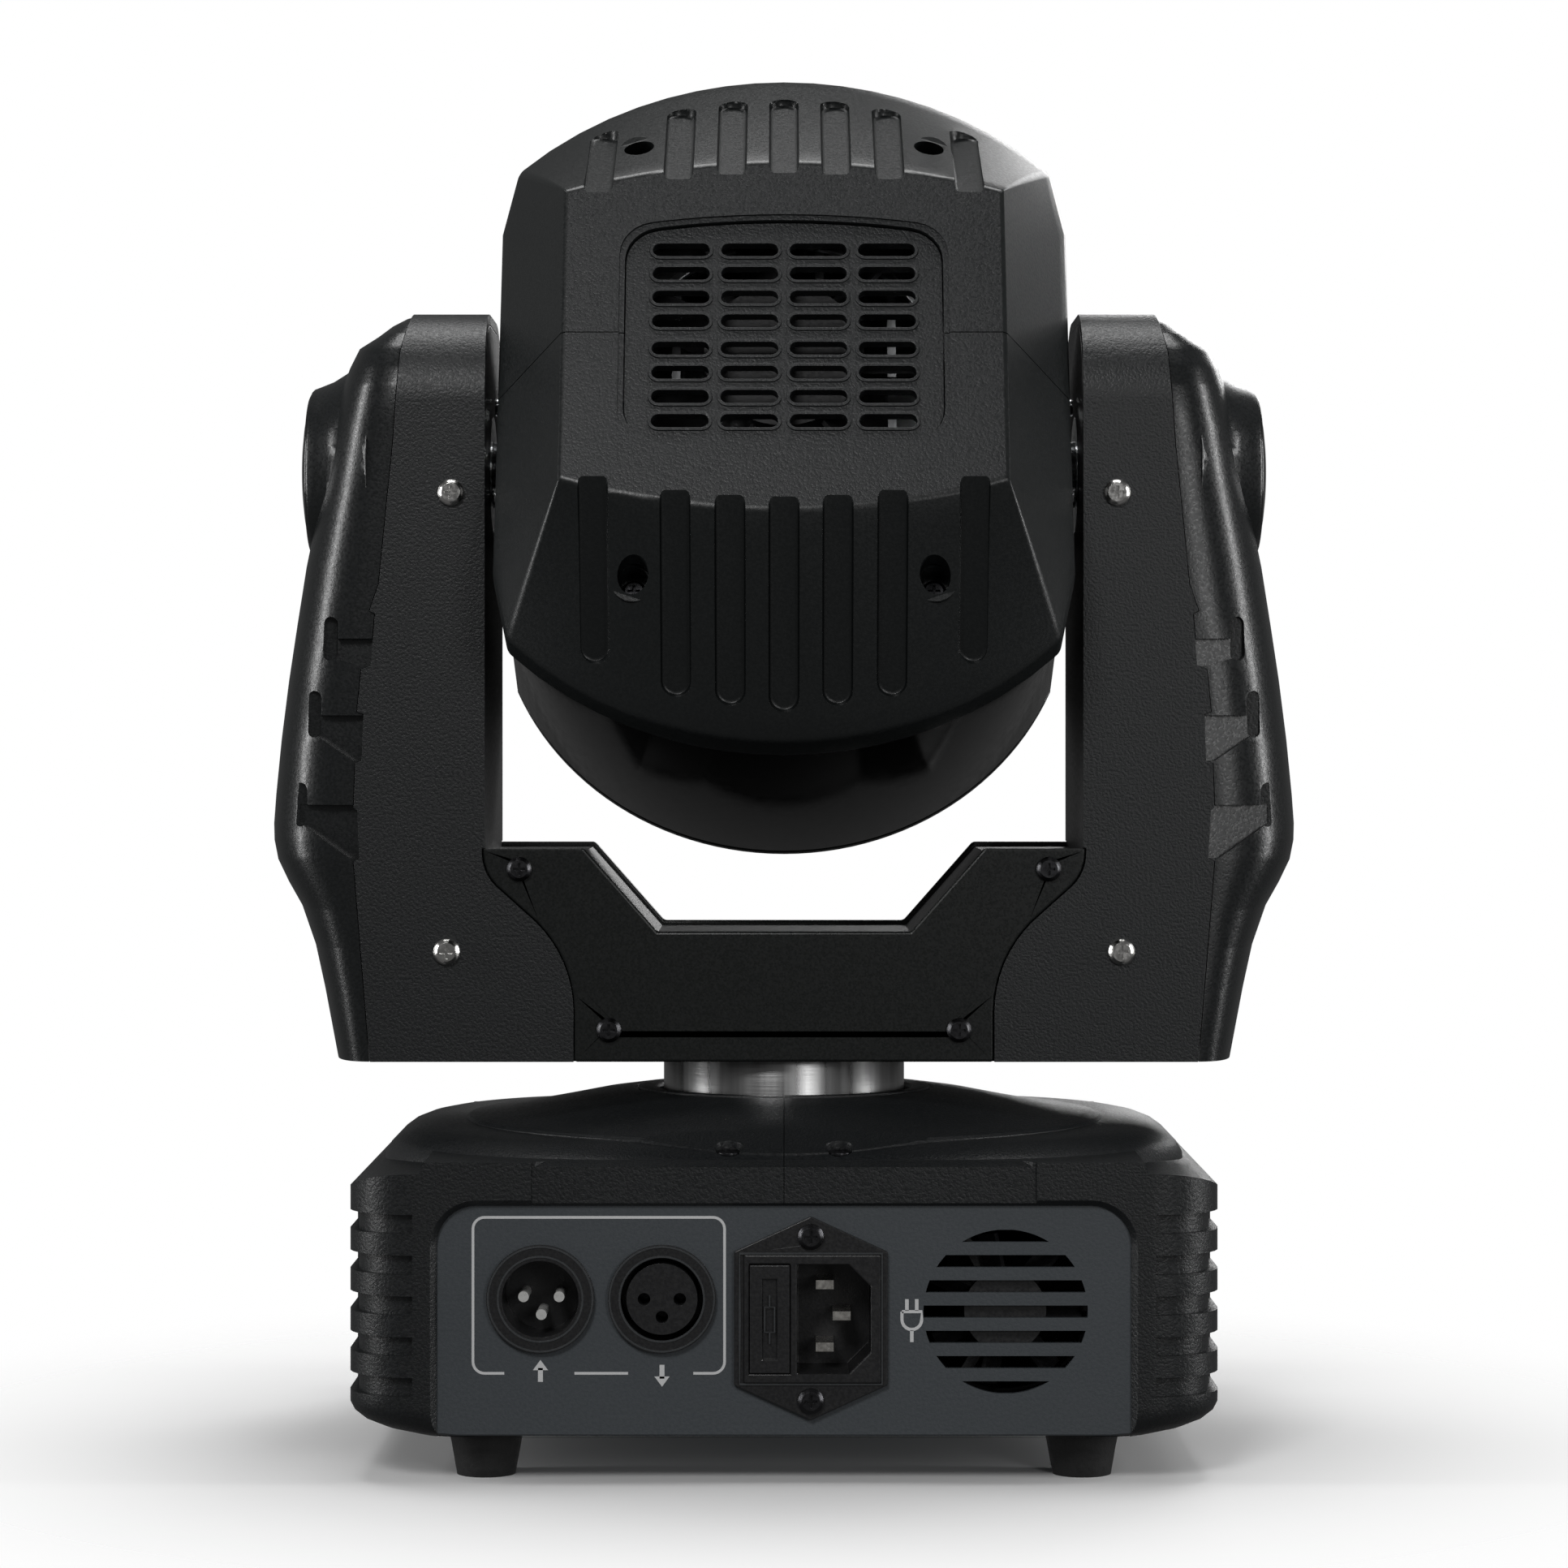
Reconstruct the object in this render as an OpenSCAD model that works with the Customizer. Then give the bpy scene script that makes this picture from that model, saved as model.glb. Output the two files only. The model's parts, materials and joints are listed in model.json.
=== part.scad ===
// Moving head wash light: base, yoke and tilting lamp head.
// +Z is up and z = 0 is the floor under the feet. The pan axis is the Z axis, the connector side of
// the base faces -Y, and the head is shown tilted with its back raised.

/* [Base] */
// Width across the plastic base covers
base_w = 196.6; // [180:1:230]
// Depth across the plastic base covers
base_d = 168; // [158:1:190]
// Height of the rubber feet
foot_h = 10.8; // [8:0.5:16]
// Height of the base cover's straight side above the feet
side_h = 55; // [53:0.5:66]
// Wall of the plastic covers
wall = 2.4; // [1.8:0.1:2.8]
// Thickness of the sheet metal
sheet = 1.5; // [1.2:0.1:2]

/* [Connector panel] */
// Half width of the opening in the base covers
opening_x = 77.7; // [76:0.1:80]
// Height of the opening above the feet
opening_h = 51.6; // [50:0.1:52]
// Outer radius of a 3-pin connector's shell
xlr_r = 12.1; // [11.5:0.1:12.6]
// Radius of the fan opening
fan_hole_r = 18.4; // [17:0.1:18.8]

/* [Pan drive] */
// Radius of the brushed pan spindle
spindle_r = 29; // [26:0.5:30]
// Radial running clearance of a spindle or shaft
run_gap = 0.05; // [0.02:0.01:0.1]
// Radius of the toothed pulley on each motor
motor_pulley_r = 7; // [6:0.5:8]
// Pan gear ratio
pan_ratio = 5; // [4.8:0.1:5.2]

/* [Yoke] */
// Clear width between the inner arm plates
yoke_gap = 140.2; // [138.4:0.2:150]
// Depth of the yoke, front to back
yoke_d = 68; // [62:1:76]
// Height of the yoke's underside
yoke_z = 91; // [90.5:0.5:96]
// Height of the crossbeam's shoulders above its underside
shoulder_h = 50; // [46:1:52]
// Height of the crossbeam's notch above its underside
notch_h = 30.5; // [26:0.5:34]
// Height of the arms above the yoke's underside
arm_h = 177; // [172:1:190]

/* [Head] */
// Height of the tilt axis above the yoke's underside
tilt_h = 139.4; // [138:0.2:150]
// Tilt of the head at rest, back raised
tilt_rest = 24; // [0:1:45]
// Half width of the head at its side flats
head_x = 67; // [64:0.5:68]
// Radius of the round front housing
bowl_r = 73; // [70:0.5:74]
// Distance of the back plate behind the tilt axis
back_l = 71; // [66:1:74]
// Distance of the front edge ahead of the tilt axis
front_l = 63.5; // [62:0.5:67]
// Tilt gear ratio
tilt_ratio = 4; // [3.6:0.1:4.2]
// Radius of the pitch circle of the six outer lenses
lens_pcr = 42; // [41:0.5:43]
// Radius of one lens
lens_r = 19; // [17:0.5:19.5]

/* [Hidden] */
$fn = 64;
eps = 0.02;

black = "#17181a";
satin = "#202225";
gloss = "#0b0b0c";
panel_grey = "#33363a";
steel = "#9a9da1";
board_green = "#1d4a30";

// ---- shared shapes ----

module rounded_rect(w, d, r) {
    square([w - 2 * r, d], center = true);
    square([w, d - 2 * r], center = true);
    for (x = [-1, 1], y = [-1, 1])
        translate([x * (w / 2 - r), y * (d / 2 - r)]) circle(r);
}

// Points of an arc about [cx, cz] from angle a0 to a1, in n steps
function arc(cx, cz, r, a0, a1, n) =
    [for (i = [0:n]) [cx, cz] + r * [cos(a0 + (a1 - a0) * i / n), sin(a0 + (a1 - a0) * i / n)]];

// A round bar along +Y from y = from, centred on [x, z]
module bar_y(x, z, r, from, length) {
    translate([x, from, z]) rotate([-90, 0, 0]) cylinder(r = r, h = length);
}

// A round bar along +X from x = from, centred on [y, z]
module bar_x(y, z, r, from, length) {
    translate([from, y, z]) rotate([0, 90, 0]) cylinder(r = r, h = length);
}

// A 2D outline in [x, z], extruded along +Y from y = from
module extrude_y(from, length) {
    translate([0, from + length, 0]) rotate([90, 0, 0]) linear_extrude(length) children();
}

// A 2D outline in [y, z], extruded along +X from x = from
module extrude_x(from, length) {
    translate([from, 0, 0]) rotate([90, 0, 90]) linear_extrude(length) children();
}

// A pan-head screw along +Z: head from z = 0 up, shank below
module screw(head_r, head_h, shank_r, shank_l) {
    difference() {
        union() {
            cylinder(r = head_r, h = head_h * 0.5);
            translate([0, 0, head_h * 0.5]) cylinder(r1 = head_r, r2 = head_r * 0.7, h = head_h * 0.5);
            translate([0, 0, -shank_l]) cylinder(r = shank_r, h = shank_l + eps);
        }
        for (a = [0, 90])
            rotate([0, 0, a]) translate([0, 0, head_h]) cube([head_r, head_r * 0.22, head_h], center = true);
    }
}

// ---- base: derived places ----

corner_r = 16;
side_top = foot_h + side_h;
rim_top = side_top + 6.5;
dome_low = side_top + 7.7;
dome_top = side_top + 17.2;
fit = 0.15;
seam = 0.1;
cover_screw_x = 12.4;
rib_low = foot_h + 11.1;
rib_pitch = 9.1;
rib_h = 4.3;
rib_depth = 1.6;
cover_screw_y = base_d / 2 - 10.5;
cover_screw_z = dome_low - 0.8;
panel_y = base_d / 2 - wall - 0.1;
panel_top = side_top - 2;
floor_z = foot_h + sheet;
foot_x = 67.6;
foot_y = base_d / 2 - 18;
bracket_x = 100;
bracket_y = 60;
bracket_hole_r = 3.2;
eye_r = 4.5;
xlr_z = foot_h + 30.7;
xlr_in_x = -54.5;
xlr_out_x = -27.3;
xlr_body_r = xlr_r - 0.6;
xlr_front = panel_y + 1.4;
xlr_floor = panel_y - 14.5;
xlr_back = panel_y - 25;
pin_pcr = 4;
pin_r = 1.2;
inlet_x = 6;
inlet_z = foot_h + 26.4;
inlet_face = panel_y + 2.4;
inlet_back = panel_y - 25;
recess_w = 16.5;
recess_h = 24.5;
recess_x = 11.15;
recess_floor = panel_y - 14.5;
drawer_x = -3.2;
drawer_w = 9.2;
drawer_travel = 20;
fan_x = 49.6;
fan_z = foot_h + 27.8;
fan_size = 40;
fan_depth = 10;
plate_z = foot_h + 37.2;
plate_x0 = -46;
plate_x1 = 82;
plate_y0 = -46;
plate_y1 = 56;
pan_motor_x = 58;
pan_motor_y = 30;
motor_w = 42.3;
shaft_r = 2.5;
bearing_h = 10;
bearing_r = spindle_r + 7.5;
pan_pulley_r = motor_pulley_r * pan_ratio;
pulley_h = 10;
pulley_z = plate_z + sheet + 1.5;
spindle_bore = spindle_r - 7;
bezel_w = 90;
bezel_h = 32;
bezel_z = foot_h + 29.2;
bezel_face = base_d / 2 + 1;
board_y = base_d / 2 - 12;
window_w = 34;
window_h = 19;
window_x = -19;
button_r = 3.6;
button_pitch = 10;
button_x0 = 8;
button_travel = 1;

// The three contact places of a 3-pin connector, as [x, z] from its centre
function contacts() = [for (a = [0, 180, 270]) pin_pcr * [cos(a), sin(a)]];

// ---- base ----

// The outer form of the base covers, set in by t
module base_form(t) {
    low = t > 0 ? 1 : 0;
    translate([0, 0, foot_h - low]) linear_extrude(side_h + low - 0.6 * t)
        rounded_rect(base_w - 2 * t, base_d - 2 * t, corner_r - t);
    hull() {
        translate([0, 0, side_top - 0.6 * t - 1]) linear_extrude(1)
            rounded_rect(base_w - 2 * t, base_d - 2 * t, corner_r - t, $fn = 32);
        translate([0, 0, rim_top - t - 1]) linear_extrude(1)
            rounded_rect(base_w - 12 - 2 * t, base_d - 10 - 2 * t, corner_r - t, $fn = 32);
    }
    intersection() {
        union() {
            translate([0, 0, side_top - 4]) cylinder(r = base_w / 2 - 7 - t, h = dome_low - side_top + 4 - t);
            translate([0, 0, dome_low - t])
                cylinder(r1 = base_w / 2 - 7 - t, r2 = spindle_r + 5, h = dome_top - dome_low);
        }
        translate([0, 0, side_top - 5]) linear_extrude(30)
            rounded_rect(base_w - 14 - 2 * t, base_d - 12 - 2 * t, corner_r - t);
    }
}

module base_cover(side) {
    color(black) difference() {
        base_form(0);
        base_form(wall);
        translate([0, 0, side_top]) cylinder(r = spindle_r + 1.5, h = 30);
        extrude_y(-base_d / 2 - 1, wall + 3) opening_outline(opening_x, opening_h, 9);
        extrude_y(base_d / 2 - wall - 2, wall + 3)
            translate([0, bezel_z]) rounded_rect(bezel_w + 2 * fit, bezel_h + 2 * fit, 5);
        for (row = [0:4], s = [-1, 1])
            translate([s * (base_w / 2), -base_d / 2, rib_low + rib_pitch * row])
                cube([30, 2 * rib_depth, rib_h], center = true);
        translate([side < 0 ? -seam / 2 : seam / 2 - 200, -150, 0]) cube([200, 300, 120]);
        for (s = [-1, 1]) translate([s * cover_screw_x, -cover_screw_y, 0]) {
            cylinder(r = 1.6, h = 120);
            translate([0, 0, cover_screw_z]) cylinder(r = 3.3, h = 40);
        }
    }
}

// The connector opening: upright rectangle from the cover's lower edge, with rounded top corners
module opening_outline(half_w, h, r) {
    translate([-half_w, foot_h - 1]) square([2 * half_w, h + 1 - r]);
    translate([-half_w + r, foot_h - 1]) square([2 * (half_w - r), h + 1]);
    for (s = [-1, 1]) translate([s * (half_w - r), foot_h + h - r]) circle(r);
}

module base_chassis() {
    color(panel_grey) {
        difference() {
            translate([0, 0, foot_h]) linear_extrude(sheet)
                rounded_rect(base_w - 2 * wall - 0.6, 2 * panel_y, corner_r - wall);
            for (x = [-1, 1], y = [-1, 1])
                translate([x * bracket_x / 2, y * bracket_y / 2, foot_h - 1])
                    cylinder(r = bracket_hole_r, h = sheet + 2);
            translate([0, bracket_y / 2 + 22, foot_h - 1]) cylinder(r = eye_r, h = sheet + 2);
        }
        difference() {
            extrude_y(-panel_y, sheet)
                translate([-82, foot_h]) square([164, panel_top - foot_h]);
            for (x = [xlr_in_x, xlr_out_x]) bar_y(x, xlr_z, xlr_body_r + fit, -panel_y - 1, sheet + 2);
            extrude_y(-panel_y - 1, sheet + 2) translate([inlet_x + 0.35, inlet_z])
                square([30.5 - 1 + 2 * fit, 28.6 - 1 + 2 * fit], center = true);
            for (s = [-1, 1]) bar_y(inlet_x, inlet_z + s * 18.35, 1.7, -panel_y - 1, sheet + 2);
            intersection() {
                bar_y(fan_x, fan_z, fan_hole_r, -panel_y - 1, sheet + 2);
                for (row = [-3:3])
                    translate([fan_x, -panel_y, fan_z + 5.65 * row])
                        cube([2 * fan_hole_r, 4 * sheet, 2.75], center = true);
            }
        }
    }
}

module rubber_feet() {
    color("#101011") for (x = [-1, 1], y = [-1, 1])
        translate([x * foot_x, y * foot_y, 0]) difference() {
            cylinder(r1 = 6.65, r2 = 8.6, h = foot_h);
            translate([0, 0, -1]) cylinder(r = 3.4, h = 4);
        }
}

// Shell of a 3-pin connector with a round front cavity
module xlr_shell(x, cavity_r) {
    difference() {
        union() {
            bar_y(x, xlr_z, xlr_r, -xlr_front, xlr_front - panel_y);
            bar_y(x, xlr_z, xlr_body_r, -panel_y, panel_y - xlr_back);
        }
        bar_y(x, xlr_z, cavity_r, -xlr_front - 1, xlr_front - xlr_floor + 1);
    }
}

module input_socket() { color(gloss) xlr_shell(xlr_in_x, 8.6); }

module input_socket_pins() {
    color("silver") for (c = contacts()) {
        bar_y(xlr_in_x + c[0], xlr_z + c[1], pin_r, -xlr_floor - 11, 11);
        bar_y(xlr_in_x + c[0], xlr_z + c[1], pin_r, -xlr_back, 5);
    }
}

module output_socket() { color(gloss) xlr_shell(xlr_out_x, 9.65); }

module output_socket_core() {
    color(gloss) difference() {
        bar_y(xlr_out_x, xlr_z, 7.95, -xlr_front + 0.4, xlr_front - 0.4 - xlr_floor);
        for (c = contacts())
            bar_y(xlr_out_x + c[0], xlr_z + c[1], pin_r + 0.2, -xlr_front - 1, 13);
    }
}

module inlet_outline() {
    polygon([[-17.2, -14.9], [0, -22.8], [17.2, -14.9], [17.2, 14.9], [0, 22.8], [-17.2, 14.9]]);
}

// Recess of the mains inlet, with two corners cut on its +X side
module inlet_recess() {
    w = recess_w / 2;
    h = recess_h / 2;
    cut = 5;
    polygon([[-w, -h], [w - cut, -h], [w, -h + cut], [w, h - cut], [w - cut, h], [-w, h]]);
}

module mains_inlet() {
    color(gloss) difference() {
        union() {
            extrude_y(-panel_y - 1.5, 1.5) translate([inlet_x, inlet_z]) inlet_outline();
            extrude_y(-inlet_face, inlet_face - panel_y)
                translate([inlet_x + 0.35, inlet_z]) square([30.5, 28.6], center = true);
            extrude_y(-panel_y, panel_y - inlet_back)
                translate([inlet_x + 0.35, inlet_z]) square([29.5, 27.6], center = true);
        }
        extrude_y(-inlet_face - 1, inlet_face - recess_floor + 1)
            translate([recess_x, inlet_z]) inlet_recess();
        extrude_y(-inlet_face - 1, inlet_face - panel_y + 21)
            translate([drawer_x, inlet_z]) square([drawer_w, recess_h], center = true);
        for (s = [-1, 1]) bar_y(inlet_x, inlet_z + s * 18.35, 1.7, -panel_y - 3, 4);
    }
}

module mains_inlet_blades() {
    color("silver") for (b = [[recess_x - 2, 7], [recess_x + 1.8, 0], [recess_x - 2, -7]]) {
        translate([b[0] - 2, -recess_floor - 11, inlet_z + b[1] - 1]) cube([4, 11, 2]);
        translate([b[0] - 2, -inlet_back, inlet_z + b[1] - 0.4]) cube([4, 7, 0.8]);
    }
}

module fuse_drawer() {
    color(gloss) difference() {
        extrude_y(-inlet_face - 0.4, inlet_face + 0.4 - panel_y + 19.5) translate([drawer_x, inlet_z])
            square([drawer_w - 2 * fit, recess_h - 2 * fit], center = true);
        translate([drawer_x - 2.8, -panel_y + 11, inlet_z - 10.2]) cube([5.6, 20, 20.4]);
        translate([drawer_x - 1.6, -inlet_face - 1, inlet_z - 9]) cube([3.2, 1.4, 18]);
    }
}

module fuse() {
    color("silver") translate([drawer_x, -panel_y + 13.7, inlet_z]) {
        for (s = [-1, 1]) translate([0, 0, s * 7.5 - 2.5]) cylinder(r = 2.6, h = 5);
        translate([0, 0, -5]) cylinder(r = 2.4, h = 10);
    }
}

// Cooling fan frame, square across Z, centred on the Z axis, with its struts at z = 0
module fan_frame(size, depth) {
    difference() {
        translate([0, 0, depth / 2]) linear_extrude(depth, center = true) rounded_rect(size, size, 3);
        translate([0, 0, -1]) cylinder(r = size / 2 - 1.2, h = depth + 2);
        for (x = [-1, 1], y = [-1, 1])
            translate([x, y, 0] * size * 0.4) translate([0, 0, -1]) cylinder(r = size / 25, h = depth + 2);
    }
    for (a = [0:120:359])
        rotate([0, 0, a]) translate([0, -1.2, 0]) cube([size / 2 - 0.6, 2.4, 1.2]);
    cylinder(r = size * 0.22, h = 1.2);
    cylinder(r = 1.5, h = depth * 0.7);
}

// Fan rotor on the frame's pin: a hub cup with seven slanted blades
module fan_rotor(size, depth) {
    hub = size * 0.23;
    translate([0, 0, 1.6]) difference() {
        union() {
            cylinder(r = hub, h = depth - 2.2);
            for (i = [0:6])
                rotate([0, 0, i * 360 / 7]) translate([hub - 1, 0, (depth - 2.2) / 2]) rotate([38, 0, 0])
                    translate([0, -0.5, -(depth - 4) / 2]) cube([size / 2 - 1.8 - hub, 1, depth - 4]);
        }
        translate([0, 0, -1]) cylinder(r = 1.5 + run_gap, h = depth * 0.7 - 0.5);
    }
}

module at_base_fan() {
    translate([fan_x, -panel_y + sheet + 0.1 + fan_depth, fan_z]) rotate([90, 0, 0]) children();
}

module base_fan_frame() { color(black) at_base_fan() fan_frame(fan_size, fan_depth); }
module base_fan_rotor() { color(satin) at_base_fan() fan_rotor(fan_size, fan_depth); }

module power_supply() {
    color(board_green) translate([-88, -48, floor_z + 5]) cube([36, 110, 1.6]);
    color("#333333") for (x = [-85, -55], y = [-44, 57])
        translate([x, y, floor_z]) cylinder(r = 2.5, h = 5);
    color("#c9b458") translate([-82, -10, floor_z + 6.6]) cube([26, 28, 24]);
    color("#22262b") for (y = [-34, 32]) translate([-70, y, floor_z + 6.6]) cylinder(r = 9, h = 22);
    color("#7d8084") translate([-60, 44, floor_z + 6.6]) cube([4, 14, 20]);
}

module control_board() {
    color(board_green) translate([-bezel_w / 2 + 2, board_y - 1.6, bezel_z - 17])
        cube([bezel_w - 4, 1.6, 34]);
    color("#22262b") translate([window_x - 17, board_y, bezel_z - 9]) cube([34, 5.2, 18]);
    color("#22262b") translate([window_x - 7, board_y - 3, bezel_z - 7]) cube([14, 1.4, 14]);
}

module display_bezel() {
    color(gloss) difference() {
        extrude_y(bezel_face - 4, 4) translate([0, bezel_z]) rounded_rect(bezel_w, bezel_h, 5);
        translate([window_x - window_w / 2, bezel_face - 1.6, bezel_z - window_h / 2])
            cube([window_w, 3, window_h]);
        translate([window_x - window_w / 2 + 2, bezel_face - 5, bezel_z - window_h / 2 + 2])
            cube([window_w - 4, 8, window_h - 4]);
        for (i = [0:3])
            bar_y(button_x0 + i * button_pitch, bezel_z, button_r + fit, bezel_face - 5, 8);
    }
}

module display_window() {
    color("#1b2530") translate([window_x, bezel_face - 1, bezel_z])
        cube([window_w - 2 * fit, 1.2, window_h - 2 * fit], center = true);
}

module menu_button(i) {
    x = button_x0 + i * button_pitch;
    color("#2a2c2f") {
        bar_y(x, bezel_z, button_r, bezel_face - 6, 7.4);
        bar_y(x, bezel_z, button_r + 0.8, bezel_face - 6, 1.6);
        bar_y(x, bezel_z, 1.4, board_y + button_travel + 0.2, bezel_face - 6 - board_y - button_travel);
    }
}

module pan_bearing_plate() {
    color(panel_grey) difference() {
        union() {
            translate([plate_x0, plate_y0, plate_z])
                cube([plate_x1 - plate_x0, plate_y1 - plate_y0, sheet]);
            for (x = [plate_x0, plate_x1 - sheet])
                translate([x, plate_y0, floor_z]) cube([sheet, plate_y1 - plate_y0, plate_z - floor_z + eps]);
        }
        translate([0, 0, plate_z - 1]) cylinder(r = spindle_r + 1, h = 5);
        translate([pan_motor_x, pan_motor_y, plate_z - 1]) cylinder(r = 11.3, h = 5);
    }
}

module pan_bearing() {
    color(steel) translate([0, 0, plate_z - bearing_h]) difference() {
        cylinder(r = bearing_r, h = bearing_h);
        translate([0, 0, -1]) cylinder(r = spindle_r + run_gap, h = bearing_h + 2);
    }
}

// Stepping motor: square body with its face at z = 0 and its body below, boss and shaft bore on top
module stepper(length) {
    difference() {
        union() {
            translate([0, 0, -length]) linear_extrude(length) difference() {
                square(motor_w, center = true);
                for (a = [45:90:359]) rotate(a) translate([motor_w * 0.66, -10]) square(20);
            }
            cylinder(r = 11, h = sheet);
        }
        translate([0, 0, -12]) cylinder(r = shaft_r + run_gap, h = 15);
    }
}

// Toothed pulley with two flanges, and a motor shaft reaching down when shaft is above zero
module pulley(r, bore, shaft) {
    difference() {
        union() {
            cylinder(r = r, h = pulley_h);
            for (z = [0, pulley_h - 1]) translate([0, 0, z]) cylinder(r = r + 2.2, h = 1);
            if (shaft > 0) translate([0, 0, -shaft]) cylinder(r = shaft_r, h = shaft + eps);
        }
        if (bore > 0) translate([0, 0, -1]) cylinder(r = bore, h = pulley_h + 2);
    }
}

// Belt loop round two pulleys, the second one at distance along +X
module belt(r1, r2, distance) {
    translate([0, 0, 2]) linear_extrude(pulley_h - 4) difference() {
        belt_outline(r1 + 1.5, r2 + 1.5, distance);
        belt_outline(r1 + 0.3, r2 + 0.3, distance);
    }
}

module belt_outline(r1, r2, distance) {
    a = acos((r1 - r2) / distance);
    polygon(concat(arc(0, 0, r1, a, 360 - a, 32), arc(distance, 0, r2, -a, a, 16)));
}

module pan_motor() { color("#2b2d30") translate([pan_motor_x, pan_motor_y, plate_z]) stepper(34); }

module pan_motor_pulley() {
    color(steel) translate([pan_motor_x, pan_motor_y, pulley_z]) pulley(motor_pulley_r, 0, 12);
}

module pan_driven_pulley() { color(satin) translate([0, 0, pulley_z]) pulley(pan_pulley_r, spindle_r, 0); }

module pan_belt() {
    distance = norm([pan_motor_x, pan_motor_y]);
    color("#101011") translate([0, 0, pulley_z]) rotate([0, 0, atan2(pan_motor_y, pan_motor_x)])
        belt(pan_pulley_r, motor_pulley_r, distance);
}

module base_screws() {
    color("#55585c") {
        for (s = [-1, 1]) translate([inlet_x, -panel_y - 1.5, inlet_z + s * 18.35]) rotate([90, 0, 0])
            screw(2.9, 1.6, 1.5, 6);
        for (s = [-1, 1]) translate([s * cover_screw_x, -cover_screw_y, cover_screw_z])
            screw(2.9, 1.6, 1.5, 6);
    }
}

// ---- yoke: derived places ----

yoke_top = yoke_z + arm_h;
axis_z = yoke_z + tilt_h;
arm_x = yoke_gap / 2;
half_d = yoke_d / 2;
arm_sheet = 2;
cover_t = 2.4;
top_r = 22;
seam_x0 = arm_x - 21;
seam_x1 = arm_x + 0.5;
seam_low_r = 30;
seam_high_r = 11;
shoulder_x = arm_x - 23.2;
notch_x = arm_x - 40.4;
slope_shift = 0.45;
beam_inset = 1.2;
hub_r = 20.5;
hub_x = arm_x + 43.4;
cap_t = 2.4;
trunnion_r = 8;
tilt_bearing_r = 14;
tilt_bearing_h = 5;
tilt_motor_h = 56;
tilt_motor_l = 24;
tilt_face_x = arm_x + 17.9;
tilt_pulley_x = arm_x + 15.4;
tilt_pulley_r = motor_pulley_r * tilt_ratio;
post_r = 2.2;
post_y = 15.5;
// Screw places on the yoke, as [x, z above the underside]
arm_screw_at = [[arm_x + 7.9, tilt_h - 6], [arm_x + 8.9, 25.8]];
cover_screw_at = [[arm_x - 8.1, shoulder_h - 4.8], [arm_x - 29.1, 7.5]];

// ---- yoke ----

module pan_spindle() {
    low = plate_z - bearing_h - 1;
    color("#c4c6c8") difference() {
        translate([0, 0, low]) cylinder(r = spindle_r, h = yoke_z - low);
        cylinder(r = spindle_bore, h = yoke_z + 1);
    }
}

// The S-shaped seam between crossbeam cover and arm shell, from the underside up
function seam_path(gap) = concat([[seam_x0 + gap, 0]],
    arc(seam_x0 + gap + seam_low_r, 11.5, seam_low_r, 180, 135, 6),
    arc(seam_x1 + gap - seam_high_r, shoulder_h - 1, seam_high_r, -45, 0, 4));

function flip(points) = [for (i = [len(points) - 1:-1:0]) [-points[i][0], points[i][1]]];

module crossbeam_cover(y) {
    half = concat(seam_path(0), [[seam_x1, shoulder_h], [shoulder_x, shoulder_h], [notch_x, notch_h]]);
    color(satin) difference() {
        translate([0, 0, yoke_z]) extrude_y(y, cover_t) polygon(concat(half, flip(half)));
        for (s = [-1, 1], p = cover_screw_at) bar_y(s * p[0], yoke_z + p[1], 1.6, y - 1, cover_t + 2);
    }
}

module yoke_rear_cover() { crossbeam_cover(-half_d); }
module yoke_front_cover() { crossbeam_cover(half_d - cover_t); }

module beam_outline(t, low) {
    x = arm_x - low;
    half = [[x, low], [x, shoulder_h - t], [shoulder_x + slope_shift * t, shoulder_h - t],
        [notch_x + slope_shift * t, notch_h - t]];
    polygon(concat(half, flip(half)));
}

module yoke_crossbeam() {
    inner = half_d - max(cover_t, wall) - 0.1;
    color(panel_grey) difference() {
        translate([0, 0, yoke_z]) extrude_y(-inner, 2 * inner) beam_outline(beam_inset, 0);
        translate([0, 0, yoke_z]) extrude_y(-inner - 1, 2 * inner + 2) beam_outline(beam_inset + 2.5, 2.5);
        cylinder(r = spindle_bore, h = yoke_z + 10);
        for (s = [-1, 1], p = cover_screw_at) bar_y(s * p[0], yoke_z + p[1], 1.6, -half_d, yoke_d);
    }
}

// Side outline of an arm in [y, z], round at its two top corners, set in by t
module arm_profile(t) {
    r = top_r - t;
    w = half_d - t;
    translate([-w, yoke_z + t]) square([2 * w, arm_h - 2 * t - r]);
    translate([-w + r, yoke_z + t]) square([2 * (w - r), arm_h - 2 * t]);
    for (s = [-1, 1]) translate([s * (w - r), yoke_top - t - r]) circle(r);
}

module arm_plate(side) {
    color("#1c1d1f") mirror([side < 0 ? 1 : 0, 0, 0]) {
        difference() {
            extrude_x(arm_x, arm_sheet) arm_profile(wall + 0.2);
            bar_x(0, axis_z, tilt_bearing_r, arm_x - 1, arm_sheet + 2);
        }
        if (side > 0)
            for (y = [-1, 1], z = [-1, 1])
                bar_x(y * post_y, yoke_z + tilt_motor_h + z * post_y, post_r, arm_x + arm_sheet - eps,
                    tilt_face_x - arm_x - arm_sheet + eps);
    }
}

module arm_plate_left() { arm_plate(-1); }
module arm_plate_right() { arm_plate(1); }

// Edge where arm shell and outer cover meet, as [x, z], from the top down
function join_edge(gap) =
    [for (p = [[18.1, arm_h], [21.5, 145], [26.9, 105], [29.8, 60], [30.7, 47], [27, 0]])
        [arm_x + p[0] + gap, p[1]]];

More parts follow.
